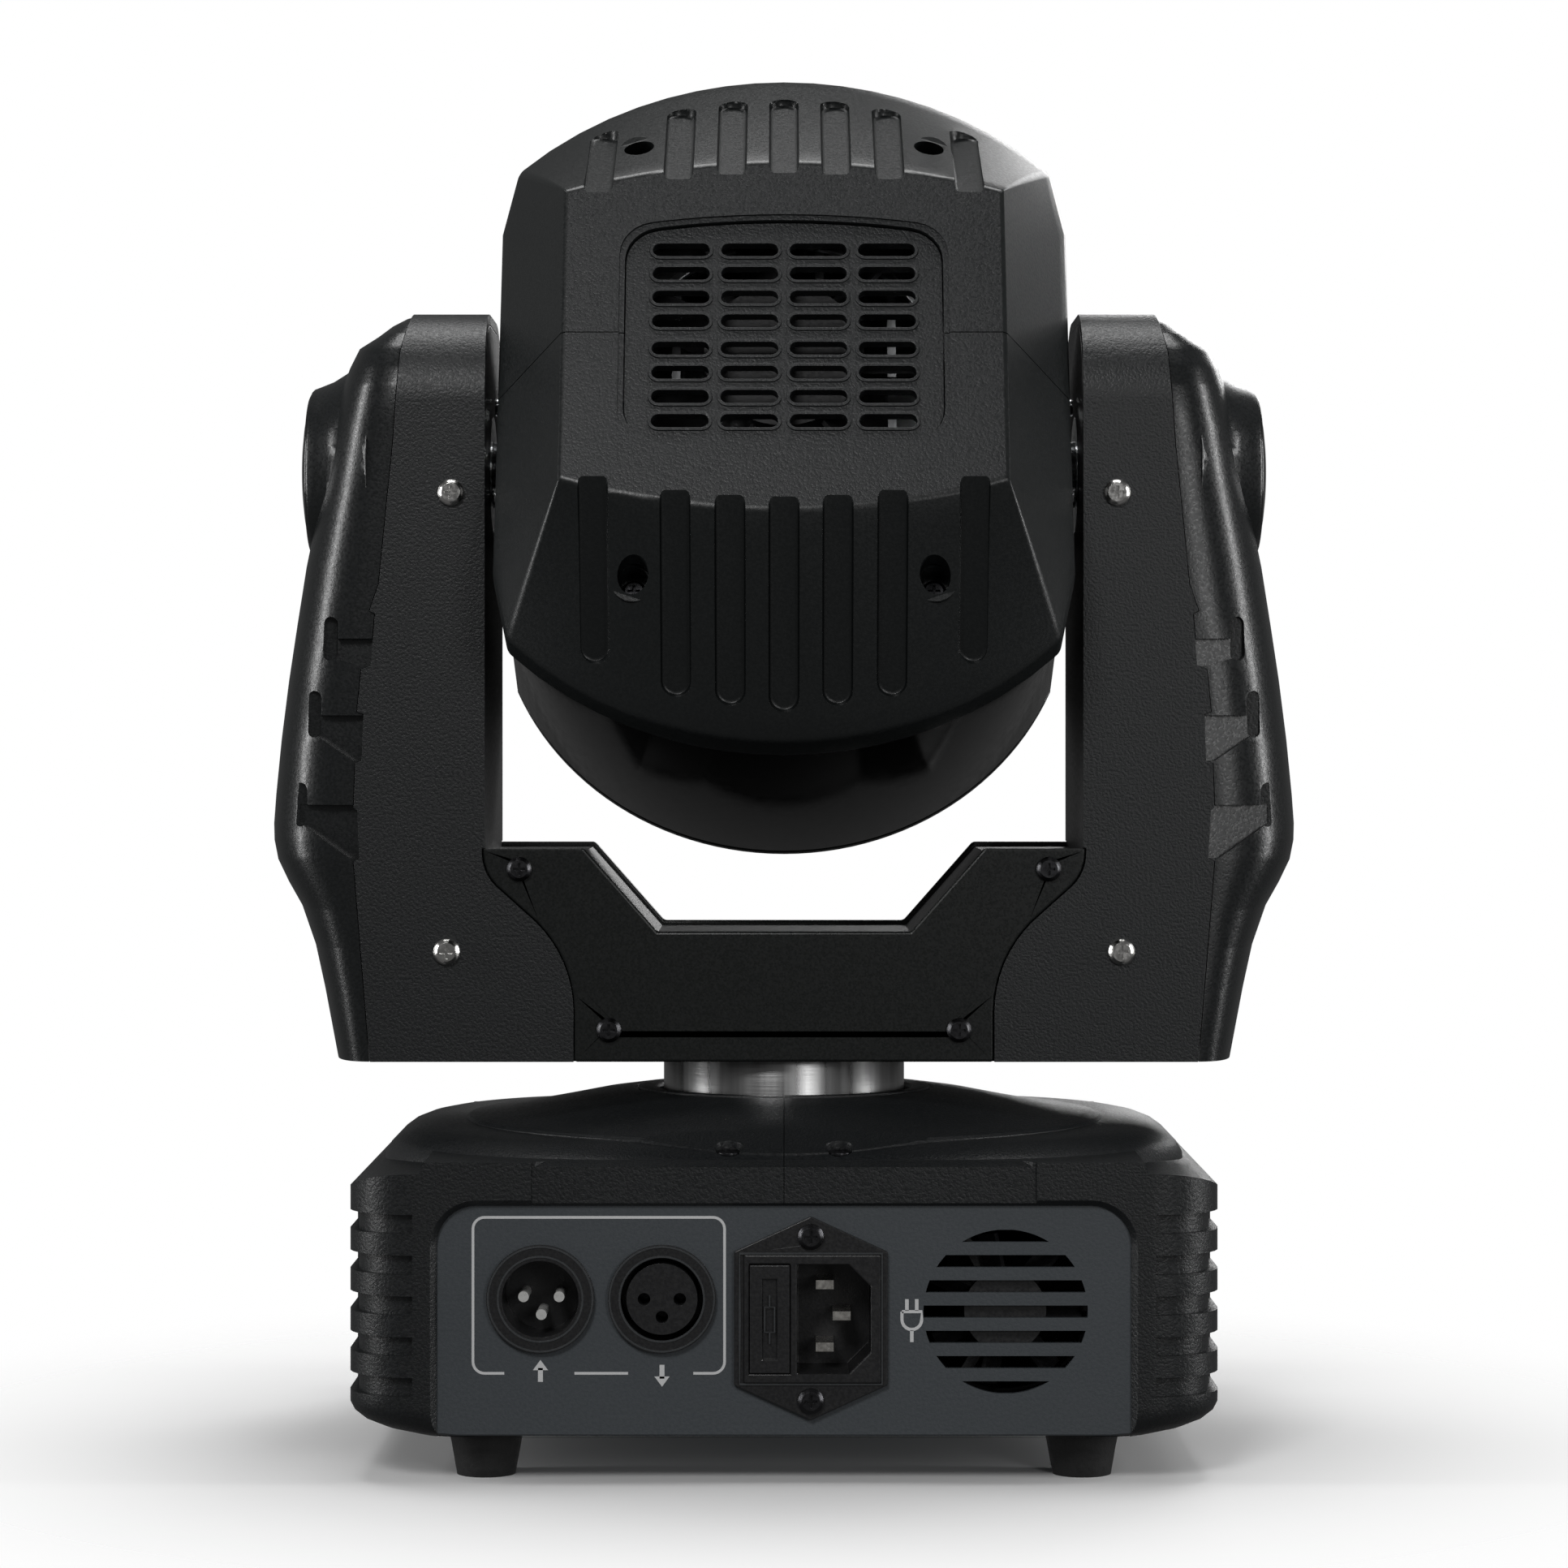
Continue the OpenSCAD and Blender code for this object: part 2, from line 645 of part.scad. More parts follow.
module arm_shell(side) {
    outline = concat(seam_path(0.2), [[seam_x1 + 0.2, shoulder_h + 0.2], [arm_x, shoulder_h + 0.2],
        [arm_x, arm_h]], join_edge(0));
    color(black) mirror([side < 0 ? 1 : 0, 0, 0]) difference() {
        intersection() {
            translate([0, 0, yoke_z]) extrude_y(-half_d, yoke_d) polygon(outline);
            extrude_x(0, 200) arm_profile(0);
        }
        extrude_x(0, 200) arm_profile(wall);
        translate([0, -half_d + wall, yoke_z - 1]) cube([arm_x + 0.1, yoke_d - 2 * wall, arm_h]);
        for (p = arm_screw_at) bar_y(p[0], yoke_z + p[1], 1.6, -half_d - 1, yoke_d + 2);
    }
}

module arm_shell_left() { arm_shell(-1); }
module arm_shell_right() { arm_shell(1); }

// Outer face of an arm cover, as [x, z], from the underside up
function cover_face() =
    [for (p = [[36.6, 0], [39.8, 16.4], [42.1, 26.7], [45.4, 36], [48.7, 41.7], [51.9, 49.2],
        [52.4, 55], [50.5, 75.4], [46.6, 103.5], [43, 122], [38, 150], [35.5, 159.6],
        [34.5, 163], [31.9, 168.7], [26.8, 171.9], [22, 174.8], [18.4, arm_h]])
        [arm_x + p[0], p[1]]];

module arm_cover(side) {
    outline = concat(cover_face(), join_edge(0.2));
    color(satin) mirror([side < 0 ? 1 : 0, 0, 0]) {
        difference() {
            union() {
                intersection() {
                    translate([0, 0, yoke_z]) extrude_y(-half_d + 0.6, yoke_d - 1.2) polygon(outline);
                    extrude_x(0, 200) arm_profile(0.6);
                }
                bar_x(0, axis_z, hub_r, arm_x + 32, hub_x - arm_x - 32);
            }
            intersection() {
                translate([-wall, 0, yoke_z]) extrude_y(-half_d + wall + 0.6, yoke_d - 2 * wall - 1.2)
                    polygon(concat(cover_face(), [[arm_x, arm_h], [arm_x, 0]]));
                extrude_x(0, 200) arm_profile(wall);
            }
        }
    }
}

module arm_cover_left() { arm_cover(-1); }
module arm_cover_right() { arm_cover(1); }

module hub_caps() {
    color(gloss) for (s = [0, 1]) mirror([s, 0, 0]) bar_x(0, axis_z, hub_r - 1, hub_x, cap_t);
}

module tilt_bearings() {
    color(steel) for (s = [0, 1]) mirror([s, 0, 0]) difference() {
        bar_x(0, axis_z, tilt_bearing_r, arm_x, tilt_bearing_h);
        bar_x(0, axis_z, trunnion_r + run_gap, arm_x - 1, tilt_bearing_h + 2);
    }
}

module at_tilt_face(x, z) { translate([x, 0, yoke_z + z]) rotate([0, -90, 0]) children(); }
module tilt_motor() { color("#2b2d30") at_tilt_face(tilt_face_x, tilt_motor_h) stepper(tilt_motor_l); }

module tilt_motor_pulley() {
    color(steel) at_tilt_face(tilt_pulley_x, tilt_motor_h) pulley(motor_pulley_r, 0, 12);
}

module tilt_belt() {
    color("#101011") at_tilt_face(tilt_pulley_x, tilt_h) rotate([0, 0, 180])
        belt(tilt_pulley_r, motor_pulley_r, tilt_h - tilt_motor_h);
}

// A set of yoke screws at the given places, on both sides of both faces
module yoke_screws(places, head_r) {
    for (s = [-1, 1], p = places) {
        translate([s * p[0], -half_d, yoke_z + p[1]]) rotate([90, 0, 0]) screw(head_r, 1.8, 1.5, 5);
        translate([s * p[0], half_d, yoke_z + p[1]]) rotate([-90, 0, 0]) screw(head_r, 1.8, 1.5, 5);
    }
}

module arm_screws() { color("silver") yoke_screws(arm_screw_at, 3.1); }
module cover_screws() { color("#26272a") yoke_screws(cover_screw_at, 2.9); }

// ---- head: derived places, along the beam (+Y of the head) and up ----

plate_x = 50.5;
plate_mid = 44.8;
plate_end = 37.3;
rim_x = 63.5;
rim_mid = 88.4;
rim_end = 62.4;
rim_flat = 45;
rim_back = 38;
rim_front = 31;
lip = 2.4;
grille_x = 36.2;
grille_h = 28.8;
grille_r = 8;
grille_face = back_l - 1.7;
slot_w = 13.1;
slot_h = 3.3;
slot_pitch_x = 15.7;
slot_pitch_z = 6.2;
slot_mid = 3.55;
bulkhead = 46;
head_fan = 80;
head_fan_depth = 15;
recess_at = [34, 55.6];
recess_r = 3.55;
recess_l = 49;
sink_r = 56;
housing_front = front_l - 2;
bezel_back = front_l - 7;
frame_x = head_x - 9;
flange_r = 18;
flange_screw = 12;

module at_head() { translate([0, 0, axis_z]) rotate([-tilt_rest, 0, 0]) children(); }

// Points of an outline's crowned top edge: half width w, height mid at the centre and end at the ends
function crown(w, mid, end) = let (s = mid - end, r = (w * w + s * s) / (2 * s))
    [for (i = [8:-1:-8]) let (x = w * i / 8) [x, mid - r + sqrt(r * r - x * x)]];

function turn(points) = [for (p = points) -p];

module plate_outline(t) {
    top = crown(plate_x - t, plate_mid - t, plate_end - t);
    polygon(concat(top, turn(top)));
}

module rim_outline(t) {
    top = crown(rim_x - t, rim_mid - t, rim_end - t);
    polygon(concat([[head_x - t, rim_flat]], top, [[-head_x + t, rim_flat]],
        turn([[head_x - t, rim_flat]]), turn(top), [[head_x - t, -rim_flat]]));
}

// Solid form of the rear shells, set in by t, with its front at y = -front
module rear_form(t, front) {
    hull() {
        extrude_y(-back_l + t, 0.5) plate_outline(t);
        extrude_y(-rim_back, rim_back - front) rim_outline(t);
    }
}

// Round outline of the front housing with its two side flats
module bowl_outline(r, x) {
    intersection() {
        circle(r);
        square([2 * x, 2 * r + 2], center = true);
    }
}

module rear_shell(side) {
    color(black) at_head() difference() {
        union() {
            difference() {
                rear_form(0, rim_front);
                rear_form(wall, rim_front + lip);
                extrude_y(-rim_front - lip, 10) bowl_outline(bowl_r + 0.2, head_x + 0.2);
            }
            intersection() {
                rear_form(0.4, rim_front);
                for (x = [-1, 1], z = [-1, 1])
                    bar_y(x * recess_at[0], z * recess_at[1], recess_r + 2, -back_l, back_l - bulkhead);
            }
        }
        for (x = [-1, 1], z = [-1, 1]) {
            bar_y(x * recess_at[0], z * recess_at[1], recess_r, -back_l - 1, back_l + 1 - recess_l);
            bar_y(x * recess_at[0], z * recess_at[1], 1.6, -back_l - 1, back_l);
        }
        extrude_y(-back_l - 1, 8) rounded_rect(2 * grille_x + 0.4, 2 * grille_h + 0.4, grille_r);
        translate([-150, -150, side > 0 ? -300 + seam / 2 : -seam / 2]) cube(300);
    }
}

module rear_shell_upper() { rear_shell(1); }
module rear_shell_lower() { rear_shell(-1); }

module vent_grille() {
    color(black) at_head() difference() {
        union() {
            extrude_y(-grille_face, grille_face - back_l + wall + 0.1)
                rounded_rect(2 * grille_x, 2 * grille_h, grille_r);
            extrude_y(-back_l + wall + 0.1, 1.6) rounded_rect(2 * grille_x + 4, 2 * grille_h + 4, grille_r);
        }
        for (i = [-3:2:3], z = [0:3], s = [-1, 1])
            extrude_y(-grille_face - 1, 8)
                translate([i * slot_pitch_x / 2, s * (slot_mid + z * slot_pitch_z)]) {
                    square([slot_w - slot_h, slot_h], center = true);
                    for (e = [-1, 1]) translate([e * (slot_w - slot_h) / 2, 0]) circle(slot_h / 2, $fn = 24);
                }
    }
}

module at_head_fan() { at_head() translate([0, -bulkhead - 0.1, 0]) rotate([90, 0, 0]) children(); }
module head_fan_frame() { color("#141416") at_head_fan() fan_frame(head_fan, head_fan_depth); }
module head_fan_rotor() { color("#1b1c1f") at_head_fan() fan_rotor(head_fan, head_fan_depth); }

module heat_sink() {
    color(steel) at_head() {
        extrude_y(-6, 6) bowl_outline(sink_r, head_x - 12);
        intersection() {
            bar_y(0, 0, sink_r, -bulkhead + 4, bulkhead - 4 - 6 + eps);
            for (i = [-6:6]) translate([i * 8.4 - 1, -bulkhead, -sink_r]) cube([2, bulkhead, 2 * sink_r]);
        }
    }
}

// Places of the seven lenses, as [x, z]
function lens_places() = concat([[0, 0]], [for (a = [0:60:359]) lens_pcr * [cos(a), sin(a)]]);

module led_board() {
    color("#e8e8e4") at_head() {
        extrude_y(0.05, 1.6) bowl_outline(sink_r, head_x - 12);
        for (p = lens_places()) bar_y(p[0], p[1], 4.5, 1.6, 2.2);
    }
}

module lenses() {
    front = front_l - 5.5;
    cap = 5;
    color("#cfd6dc") at_head() for (p = lens_places())
        translate([p[0], 0, p[1]]) rotate([-90, 0, 0]) union() {
            translate([0, 0, 4.6]) cylinder(r1 = 6.5, r2 = lens_r - 0.2, h = front - 14.6);
            translate([0, 0, front - 10 - eps]) cylinder(r = lens_r - 0.2, h = 10 + 2 * eps);
            translate([0, 0, front]) cylinder(r1 = lens_r - 0.2, r2 = lens_r - 5, h = cap - 1);
        }
}

module front_housing() {
    color(gloss) at_head() difference() {
        extrude_y(-rim_front - lip + 0.2, housing_front + rim_front + lip - 0.2) bowl_outline(bowl_r, head_x);
        extrude_y(-rim_front - lip - 1, housing_front + rim_front + lip + 2)
            bowl_outline(bowl_r - wall, head_x - wall);
        bar_x(0, 0, trunnion_r + 0.2, -100, 200);
    }
}

module front_bezel() {
    color(satin) at_head() difference() {
        union() {
            extrude_y(housing_front, front_l - housing_front) bowl_outline(bowl_r, head_x);
            extrude_y(bezel_back, housing_front - bezel_back + eps)
                bowl_outline(bowl_r - wall - fit, head_x - wall - fit);
        }
        extrude_y(bezel_back + 3, 20) bowl_outline(bowl_r - 7, head_x - 5);
        for (p = lens_places()) bar_y(p[0], p[1], lens_r, bezel_back - 1, 10);
    }
}

module head_frame() {
    color(panel_grey) at_head() {
        difference() {
            extrude_y(-bulkhead, sheet) {
                square([2 * frame_x, 88], center = true);
                square([84, 2 * recess_at[1] + 8], center = true);
            }
            bar_y(0, 0, head_fan / 2 - 3, -bulkhead - 1, 5);
        }
        for (s = [-1, 1]) difference() {
            translate([s * (frame_x - sheet / 2), -bulkhead / 2 + 11, 0])
                cube([sheet, bulkhead + 22, 44], center = true);
            bar_x(0, 0, trunnion_r, -100, 200);
        }
    }
}

module trunnions() {
    color(steel) at_head() for (s = [0, 1]) mirror([s, 0, 0]) {
        bar_x(0, 0, trunnion_r, frame_x - sheet, tilt_pulley_x + 1.5 - frame_x + sheet);
        bar_x(0, 0, flange_r, head_x + 0.05, 1.2);
        for (a = [45:90:359])
            bar_x(flange_screw * sin(a) * sqrt(2), flange_screw * cos(a) * sqrt(2), 2.2, head_x + 1.2, 1.1);
    }
}

module tilt_driven_pulley() {
    color(satin) at_tilt_face(tilt_pulley_x, tilt_h) pulley(tilt_pulley_r, trunnion_r, 0);
}

module head_screws() {
    color("#3a3c40") at_head() for (x = [-1, 1], z = [-1, 1])
        translate([x * recess_at[0], -recess_l, z * recess_at[1]]) rotate([90, 0, 0]) screw(2.9, 1.8, 1.5, 3);
}

// ---- drawing ----

base_chassis();
base_cover(-1);  // base_cover_left
base_cover(1);  // base_cover_right
rubber_feet();
input_socket();
input_socket_pins();
output_socket();
output_socket_core();
mains_inlet();
mains_inlet_blades();
fuse_drawer();
fuse();
base_fan_frame();
base_fan_rotor();
power_supply();
control_board();
display_bezel();
display_window();
menu_button(0);  // menu_button_mode
menu_button(1);  // menu_button_down
menu_button(2);  // menu_button_up
menu_button(3);  // menu_button_enter
pan_bearing_plate();
pan_bearing();
pan_motor();
pan_motor_pulley();
pan_belt();
base_screws();
pan_spindle();
pan_driven_pulley();
yoke_crossbeam();
arm_plate_left();
arm_plate_right();
yoke_rear_cover();
yoke_front_cover();
arm_shell_left();
arm_shell_right();
arm_cover_left();
arm_cover_right();
hub_caps();
tilt_bearings();
tilt_motor();
tilt_motor_pulley();
tilt_belt();
arm_screws();
cover_screws();
rear_shell_upper();
rear_shell_lower();
vent_grille();
head_fan_frame();
head_fan_rotor();
heat_sink();
led_board();
lenses();
front_housing();
front_bezel();
head_frame();
trunnions();
tilt_driven_pulley();
head_screws();
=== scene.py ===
import json
import math

import bmesh
import bpy
from mathutils import Matrix, Vector


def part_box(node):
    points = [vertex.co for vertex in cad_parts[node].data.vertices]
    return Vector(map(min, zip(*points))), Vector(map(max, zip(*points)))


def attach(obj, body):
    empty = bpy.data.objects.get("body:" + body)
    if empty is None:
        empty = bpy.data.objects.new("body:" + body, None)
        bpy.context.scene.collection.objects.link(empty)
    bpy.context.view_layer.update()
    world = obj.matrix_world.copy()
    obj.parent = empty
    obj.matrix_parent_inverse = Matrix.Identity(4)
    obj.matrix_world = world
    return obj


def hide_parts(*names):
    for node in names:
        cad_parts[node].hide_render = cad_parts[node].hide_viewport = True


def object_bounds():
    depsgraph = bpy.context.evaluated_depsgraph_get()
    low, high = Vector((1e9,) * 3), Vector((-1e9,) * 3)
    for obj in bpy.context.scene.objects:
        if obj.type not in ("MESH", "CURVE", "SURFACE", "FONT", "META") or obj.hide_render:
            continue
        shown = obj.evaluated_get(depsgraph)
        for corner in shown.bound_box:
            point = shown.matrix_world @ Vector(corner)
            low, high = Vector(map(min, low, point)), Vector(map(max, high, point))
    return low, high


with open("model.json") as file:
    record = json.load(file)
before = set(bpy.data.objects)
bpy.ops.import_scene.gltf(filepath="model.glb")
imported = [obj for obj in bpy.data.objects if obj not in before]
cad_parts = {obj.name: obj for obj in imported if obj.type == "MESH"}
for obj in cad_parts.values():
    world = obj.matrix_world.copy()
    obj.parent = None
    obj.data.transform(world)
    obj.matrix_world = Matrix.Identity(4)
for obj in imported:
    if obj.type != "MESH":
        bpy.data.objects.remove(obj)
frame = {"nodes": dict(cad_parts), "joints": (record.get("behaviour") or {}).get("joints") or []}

cad_low, cad_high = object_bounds()
MM = 0.001


# --- Camera, lights and floor ---
# A long lens on a tripod 1.1 m behind the light, level, at the height of the arms' middle. The
# object stands on a pale floor that fades into a white room, lit by large soft boxes.
def linked(name, data):
    """A new object in the scene that shows the given mesh, light or camera."""
    made = bpy.data.objects.new(name, data)
    bpy.context.collection.objects.link(made)
    return made


def add_node(tree, kind, values=None, **settings):
    """A new node in a tree, with its settings and the values of its sockets."""
    node = tree.nodes.new("ShaderNode" + kind)
    for name, value in settings.items():
        setattr(node, name, value)
    for socket, value in (values or {}).items():
        node.inputs[socket].default_value = value
    return node


def wire(tree, *joins):
    """Joins sockets, each given as from node, its output, to node, its input."""
    for start, output, end, entry in joins:
        tree.links.new(start.outputs[output], end.inputs[entry])


def new_material(name, values):
    """A material, its node tree and its shader, with values set on the shader's own sockets."""
    material = bpy.data.materials.new(name)
    material.use_nodes = True
    shader = material.node_tree.nodes["Principled BSDF"]
    for socket, value in values.items():
        shader.inputs[socket].default_value = value
    return material, material.node_tree, shader


camera_data = bpy.data.cameras.new("camera")
camera_data.sensor_width = 36
camera_data.lens = 104.5
camera_data.shift_y = -0.034
camera = linked("camera", camera_data)
camera_distance, camera_height = 1.1, 0.1686
camera.location = (0, -camera_distance, camera_height)
camera.rotation_euler = (math.radians(90), 0, 0)
bpy.context.scene.camera = camera
bpy.context.scene.view_settings.view_transform = "Standard"

light_aim = Vector((0, 0, (cad_low.z + cad_high.z) / 2))
for name, place, width, height, watts in (
        ("key_light", (-0.35, -1.3, 1.0), 0.4, 0.4, 7.2),
        ("fill_light", (0.6, -1.4, 0.35), 0.3, 0.4, 2.5),
        ("far_side_light", (0.45, 1.3, 0.75), 0.6, 0.6, 6),
        ("top_light", (0, 0.12, 1.05), 0.7, 0.35, 5),
        ("left_rim_light", (-1.0, -0.12, 0.34), 0.12, 0.7, 4.5),
        ("right_rim_light", (1.0, -0.12, 0.34), 0.12, 0.7, 4.5)):
    light_data = bpy.data.lights.new(name, "AREA")
    light_data.shape = "RECTANGLE"
    light_data.size, light_data.size_y = width, height
    light_data.energy = watts
    light = linked(name, light_data)
    light.location = place
    light.rotation_mode = "QUATERNION"
    light.rotation_quaternion = (light_aim - Vector(place)).to_track_quat("-Z", "Y")

world = bpy.data.worlds.new("studio")
bpy.context.scene.world = world
world.use_nodes = True
room = world.node_tree.nodes["Background"]
room.inputs["Color"].default_value = (1, 1, 1, 1)
room.inputs["Strength"].default_value = 0.1
seen = add_node(world.node_tree, "Background", {"Color": (1, 1, 1, 1)})
path = add_node(world.node_tree, "LightPath")
room_mix = add_node(world.node_tree, "MixShader")
wire(world.node_tree, (path, "Is Camera Ray", room_mix, "Fac"), (room, "Background", room_mix, 1),
     (seen, "Background", room_mix, 2),
     (room_mix, "Shader", world.node_tree.nodes["World Output"], "Surface"))

floor_radius = 0.75
floor_mesh = bmesh.new()
bmesh.ops.create_circle(floor_mesh, cap_ends=True, segments=96, radius=floor_radius)
floor_data = bpy.data.meshes.new("floor")
floor_mesh.to_mesh(floor_data)
floor_mesh.free()
floor = linked("floor", floor_data)
floor_material, floor_tree, floor_shader = new_material("pale_floor", {
    "Base Color": (0.9, 0.9, 0.9, 1), "Roughness": 0.9, "Specular IOR Level": 0.1})
floor_place = add_node(floor_tree, "TexCoord")
from_middle = add_node(floor_tree, "VectorMath", operation="LENGTH")
fade = add_node(floor_tree, "MapRange", {"From Min": 0.1, "From Max": 0.27, "To Min": 1, "To Max": 0},
                interpolation_type="SMOOTHSTEP")
wire(floor_tree, (floor_place, "Object", from_middle, 0), (from_middle, "Value", fade, "Value"),
     (fade, "Result", floor_shader, "Alpha"))
floor_data.materials.append(floor_material)
floor.visible_glossy = False
floor.visible_diffuse = False


# --- Chassis ---
# The base is built on a folded steel tray with a connector panel bent up along its back edge. It is
# powder coated dark grey, with white screen-printed lines round the signal connectors.
def moulded_grain_group():
    """Fine sparked grain of a mould or a powder coat: a height, and a mottle that follows it."""
    group = bpy.data.node_groups.new("moulded_grain", "ShaderNodeTree")
    for name, direction, value in (("Grains per Metre", "INPUT", 1500),
                                   ("Mottle per Metre", "INPUT", 60),
                                   ("Height", "OUTPUT", 0), ("Mottle", "OUTPUT", 0)):
        socket = group.interface.new_socket(name=name, in_out=direction,
                                            socket_type="NodeSocketFloat")
        socket.default_value = value
    given, result = group.nodes.new("NodeGroupInput"), group.nodes.new("NodeGroupOutput")
    place = add_node(group, "TexCoord")
    grain = add_node(group, "TexNoise", {"Detail": 2, "Roughness": 0.6})
    mottle = add_node(group, "TexNoise", {"Detail": 4})
    contrast = add_node(group, "MapRange", {"From Min": 0.34, "From Max": 0.66})
    share = add_node(group, "Math", {1: 0.65}, operation="MULTIPLY")
    both = add_node(group, "Math", {1: 0.35}, operation="MULTIPLY_ADD")
    wire(group, (place, "Object", grain, "Vector"), (place, "Object", mottle, "Vector"),
         (given, "Grains per Metre", grain, "Scale"), (given, "Mottle per Metre", mottle, "Scale"),
         (grain, "Fac", contrast, "Value"), (contrast, "Result", result, "Height"),
         (contrast, "Result", share, 0), (mottle, "Fac", both, 0), (share, "Value", both, 2),
         (both, "Value", result, "Mottle"))
    return group


moulded_grain = moulded_grain_group()


def grained(name, dark, light, roughness, grains, depth, spread=0.05, metallic=0.0, specular=0.5,
            coat=0.0):
    """A grained finish whose colour runs from dark to light with the mottle."""
    material, tree, shader = new_material(name, {
        "Metallic": metallic, "Specular IOR Level": specular, "Coat Weight": coat})
    grain = add_node(tree, "Group", {"Grains per Metre": grains}, node_tree=moulded_grain)
    colours = add_node(tree, "Mix", {"A": (*dark, 1), "B": (*light, 1)}, data_type="RGBA")
    rough = add_node(tree, "MapRange", {"To Min": roughness - spread, "To Max": roughness + spread})
    bump = add_node(tree, "Bump", {"Strength": 1, "Distance": depth})
    wire(tree, (grain, "Mottle", colours, "Factor"), (colours, "Result", shader, "Base Color"),
         (grain, "Height", rough, "Value"), (rough, "Result", shader, "Roughness"),
         (grain, "Height", bump, "Height"), (bump, "Normal", shader, "Normal"))
    return material


def dress(node, material, edge=0.0, segments=2):
    """Gives a CAD piece its finish and, where edge is set, rounds its sharp edges by that width."""
    piece = frame["nodes"][node]
    for slot in piece.material_slots:
        slot.material = material
    if edge:
        piece.modifiers.new("weld", "WELD").merge_threshold = 1e-5
        bevel = piece.modifiers.new("edges", "BEVEL")
        bevel.width = edge
        bevel.segments = segments
        bevel.limit_method = "ANGLE"
        bevel.angle_limit = math.radians(40)
        bevel.harden_normals = False
    return piece


powder_coat = grained("powder_coat", dark=(0.060, 0.069, 0.077), light=(0.071, 0.080, 0.089),
                      roughness=0.46, grains=1300, depth=0.00002)


def mesh_piece(name, vertices, faces):
    data = bpy.data.meshes.new(name)
    data.from_pydata([tuple(v) for v in vertices], [], faces)
    return linked(name, data)


def arc(cx, cy, radius, start, end, steps):
    """Points of an arc, with its angles in degrees."""
    turns = [math.radians(start + (end - start) * i / steps) for i in range(steps + 1)]
    return [(cx + radius * math.cos(a), cy + radius * math.sin(a)) for a in turns]


def ribbon(name, line, width, thickness, surface_y):
    """A printed line of even width along points [x, z], lying on a panel that faces -Y."""
    vertices, faces = [], []
    for i, point in enumerate(line):
        before, after = line[max(i - 1, 0)], line[min(i + 1, len(line) - 1)]
        along = Vector((after[0] - before[0], after[1] - before[1])).normalized()
        side = Vector((-along.y, along.x)) * width / 2
        for depth in (0, thickness):
            for s in (1, -1):
                vertices.append((point[0] + s * side.x, surface_y - depth, point[1] + s * side.y))
    for i in range(len(line) - 1):
        a, b = 4 * i, 4 * i + 4
        faces += [(a, a + 1, b + 1, b), (a + 2, b + 2, b + 3, a + 3), (a, b, b + 2, a + 2),
                  (a + 1, a + 3, b + 3, b + 1)]
    last = 4 * len(line) - 4
    faces += [(0, 2, 3, 1), (last, last + 1, last + 3, last + 2)]
    return mesh_piece(name, vertices, faces)


def join(name, parts):
    """One piece from several, which are used up."""
    made = bmesh.new()
    for part in parts:
        made.from_mesh(part.data)
        bpy.data.objects.remove(part)
    data = bpy.data.meshes.new(name)
    made.to_mesh(data)
    made.free()
    return linked(name, data)


def loft(name, rings):
    """A closed solid through rings of points, with a flat face at each end."""
    count = len(rings[0])
    vertices = [point for ring in rings for point in ring]
    faces = [(r * count + i, r * count + (i + 1) % count, (r + 1) * count + (i + 1) % count,
              (r + 1) * count + i) for r in range(len(rings) - 1) for i in range(count)]
    faces += [tuple(range(count))[::-1], tuple(range((len(rings) - 1) * count, len(rings) * count))]
    return outward(mesh_piece(name, vertices, faces))


def outward(piece):
    made = bmesh.new()
    made.from_mesh(piece.data)
    bmesh.ops.recalc_face_normals(made, faces=made.faces)
    made.to_mesh(piece.data)
    made.free()
    return piece


def carve(piece, cutters, operation="DIFFERENCE"):
    """Cuts the cutters out of a piece, or keeps or adds them, and uses them up."""
    tool = join(piece.name + "_tool", cutters) if len(cutters) > 1 else cutters[0]
    cut = piece.modifiers.new("cut", "BOOLEAN")
    cut.object, cut.operation, cut.solver = tool, operation, "EXACT"
    bpy.context.view_layer.update()
    made = bpy.data.meshes.new_from_object(piece.evaluated_get(bpy.context.evaluated_depsgraph_get()))
    piece.modifiers.clear()
    piece.data = made
    bpy.data.objects.remove(tool)
    return piece


def finish_piece(piece, body, finish):
    """Gives a piece its finish, unless it has one, and ties it to its body."""
    if finish:
        piece.data.materials.append(finish)
    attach(piece, body)


def place_piece(piece, place, body, finish, stands_for, edge, angle=32):
    """Moves a piece drawn in mm to its place, rounds its edges and ties it to its body."""
    piece.data.transform(place @ Matrix.Scale(MM, 4))
    piece.data.shade_smooth()
    piece.data.set_sharp_from_angle(angle=math.radians(angle))
    if edge:
        bevel = piece.modifiers.new("edges", "BEVEL")
        bevel.width = edge * MM
        bevel.segments = 2
        bevel.limit_method = "ANGLE"
        bevel.angle_limit = math.radians(angle)
        bevel.harden_normals = False
        piece.modifiers.new("flat_faces", "WEIGHTED_NORMAL").keep_sharp = False
    finish_piece(piece, body, finish)
    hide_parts(*stands_for)


def fillet(points, radii, steps=6):
    """A closed outline with an arc of the given radius in place of each corner that has one."""
    result = []
    for i, point in enumerate(points):
        if not radii[i]:
            result.append(point)
            continue
        here = Vector(point)
        before = (Vector(points[i - 1]) - here).normalized()
        after = (Vector(points[(i + 1) % len(points)]) - here).normalized()
        half_turn = before.angle(after) / 2
        back_off = radii[i] / math.tan(half_turn)
        centre = here + (before + after).normalized() * radii[i] / math.sin(half_turn)
        start, end = here + before * back_off - centre, here + after * back_off - centre
        sweep = start.angle_signed(end)
        for k in range(steps + 1):
            turned = start.copy()
            turned.rotate(Matrix.Rotation(-sweep * k / steps, 2))
            result.append(tuple(centre + turned))
    return result


def round_outline(x, z, radius, steps=24):
    return [(x + radius * math.cos(math.tau * i / steps), z + radius * math.sin(math.tau * i / steps))
            for i in range(steps)]


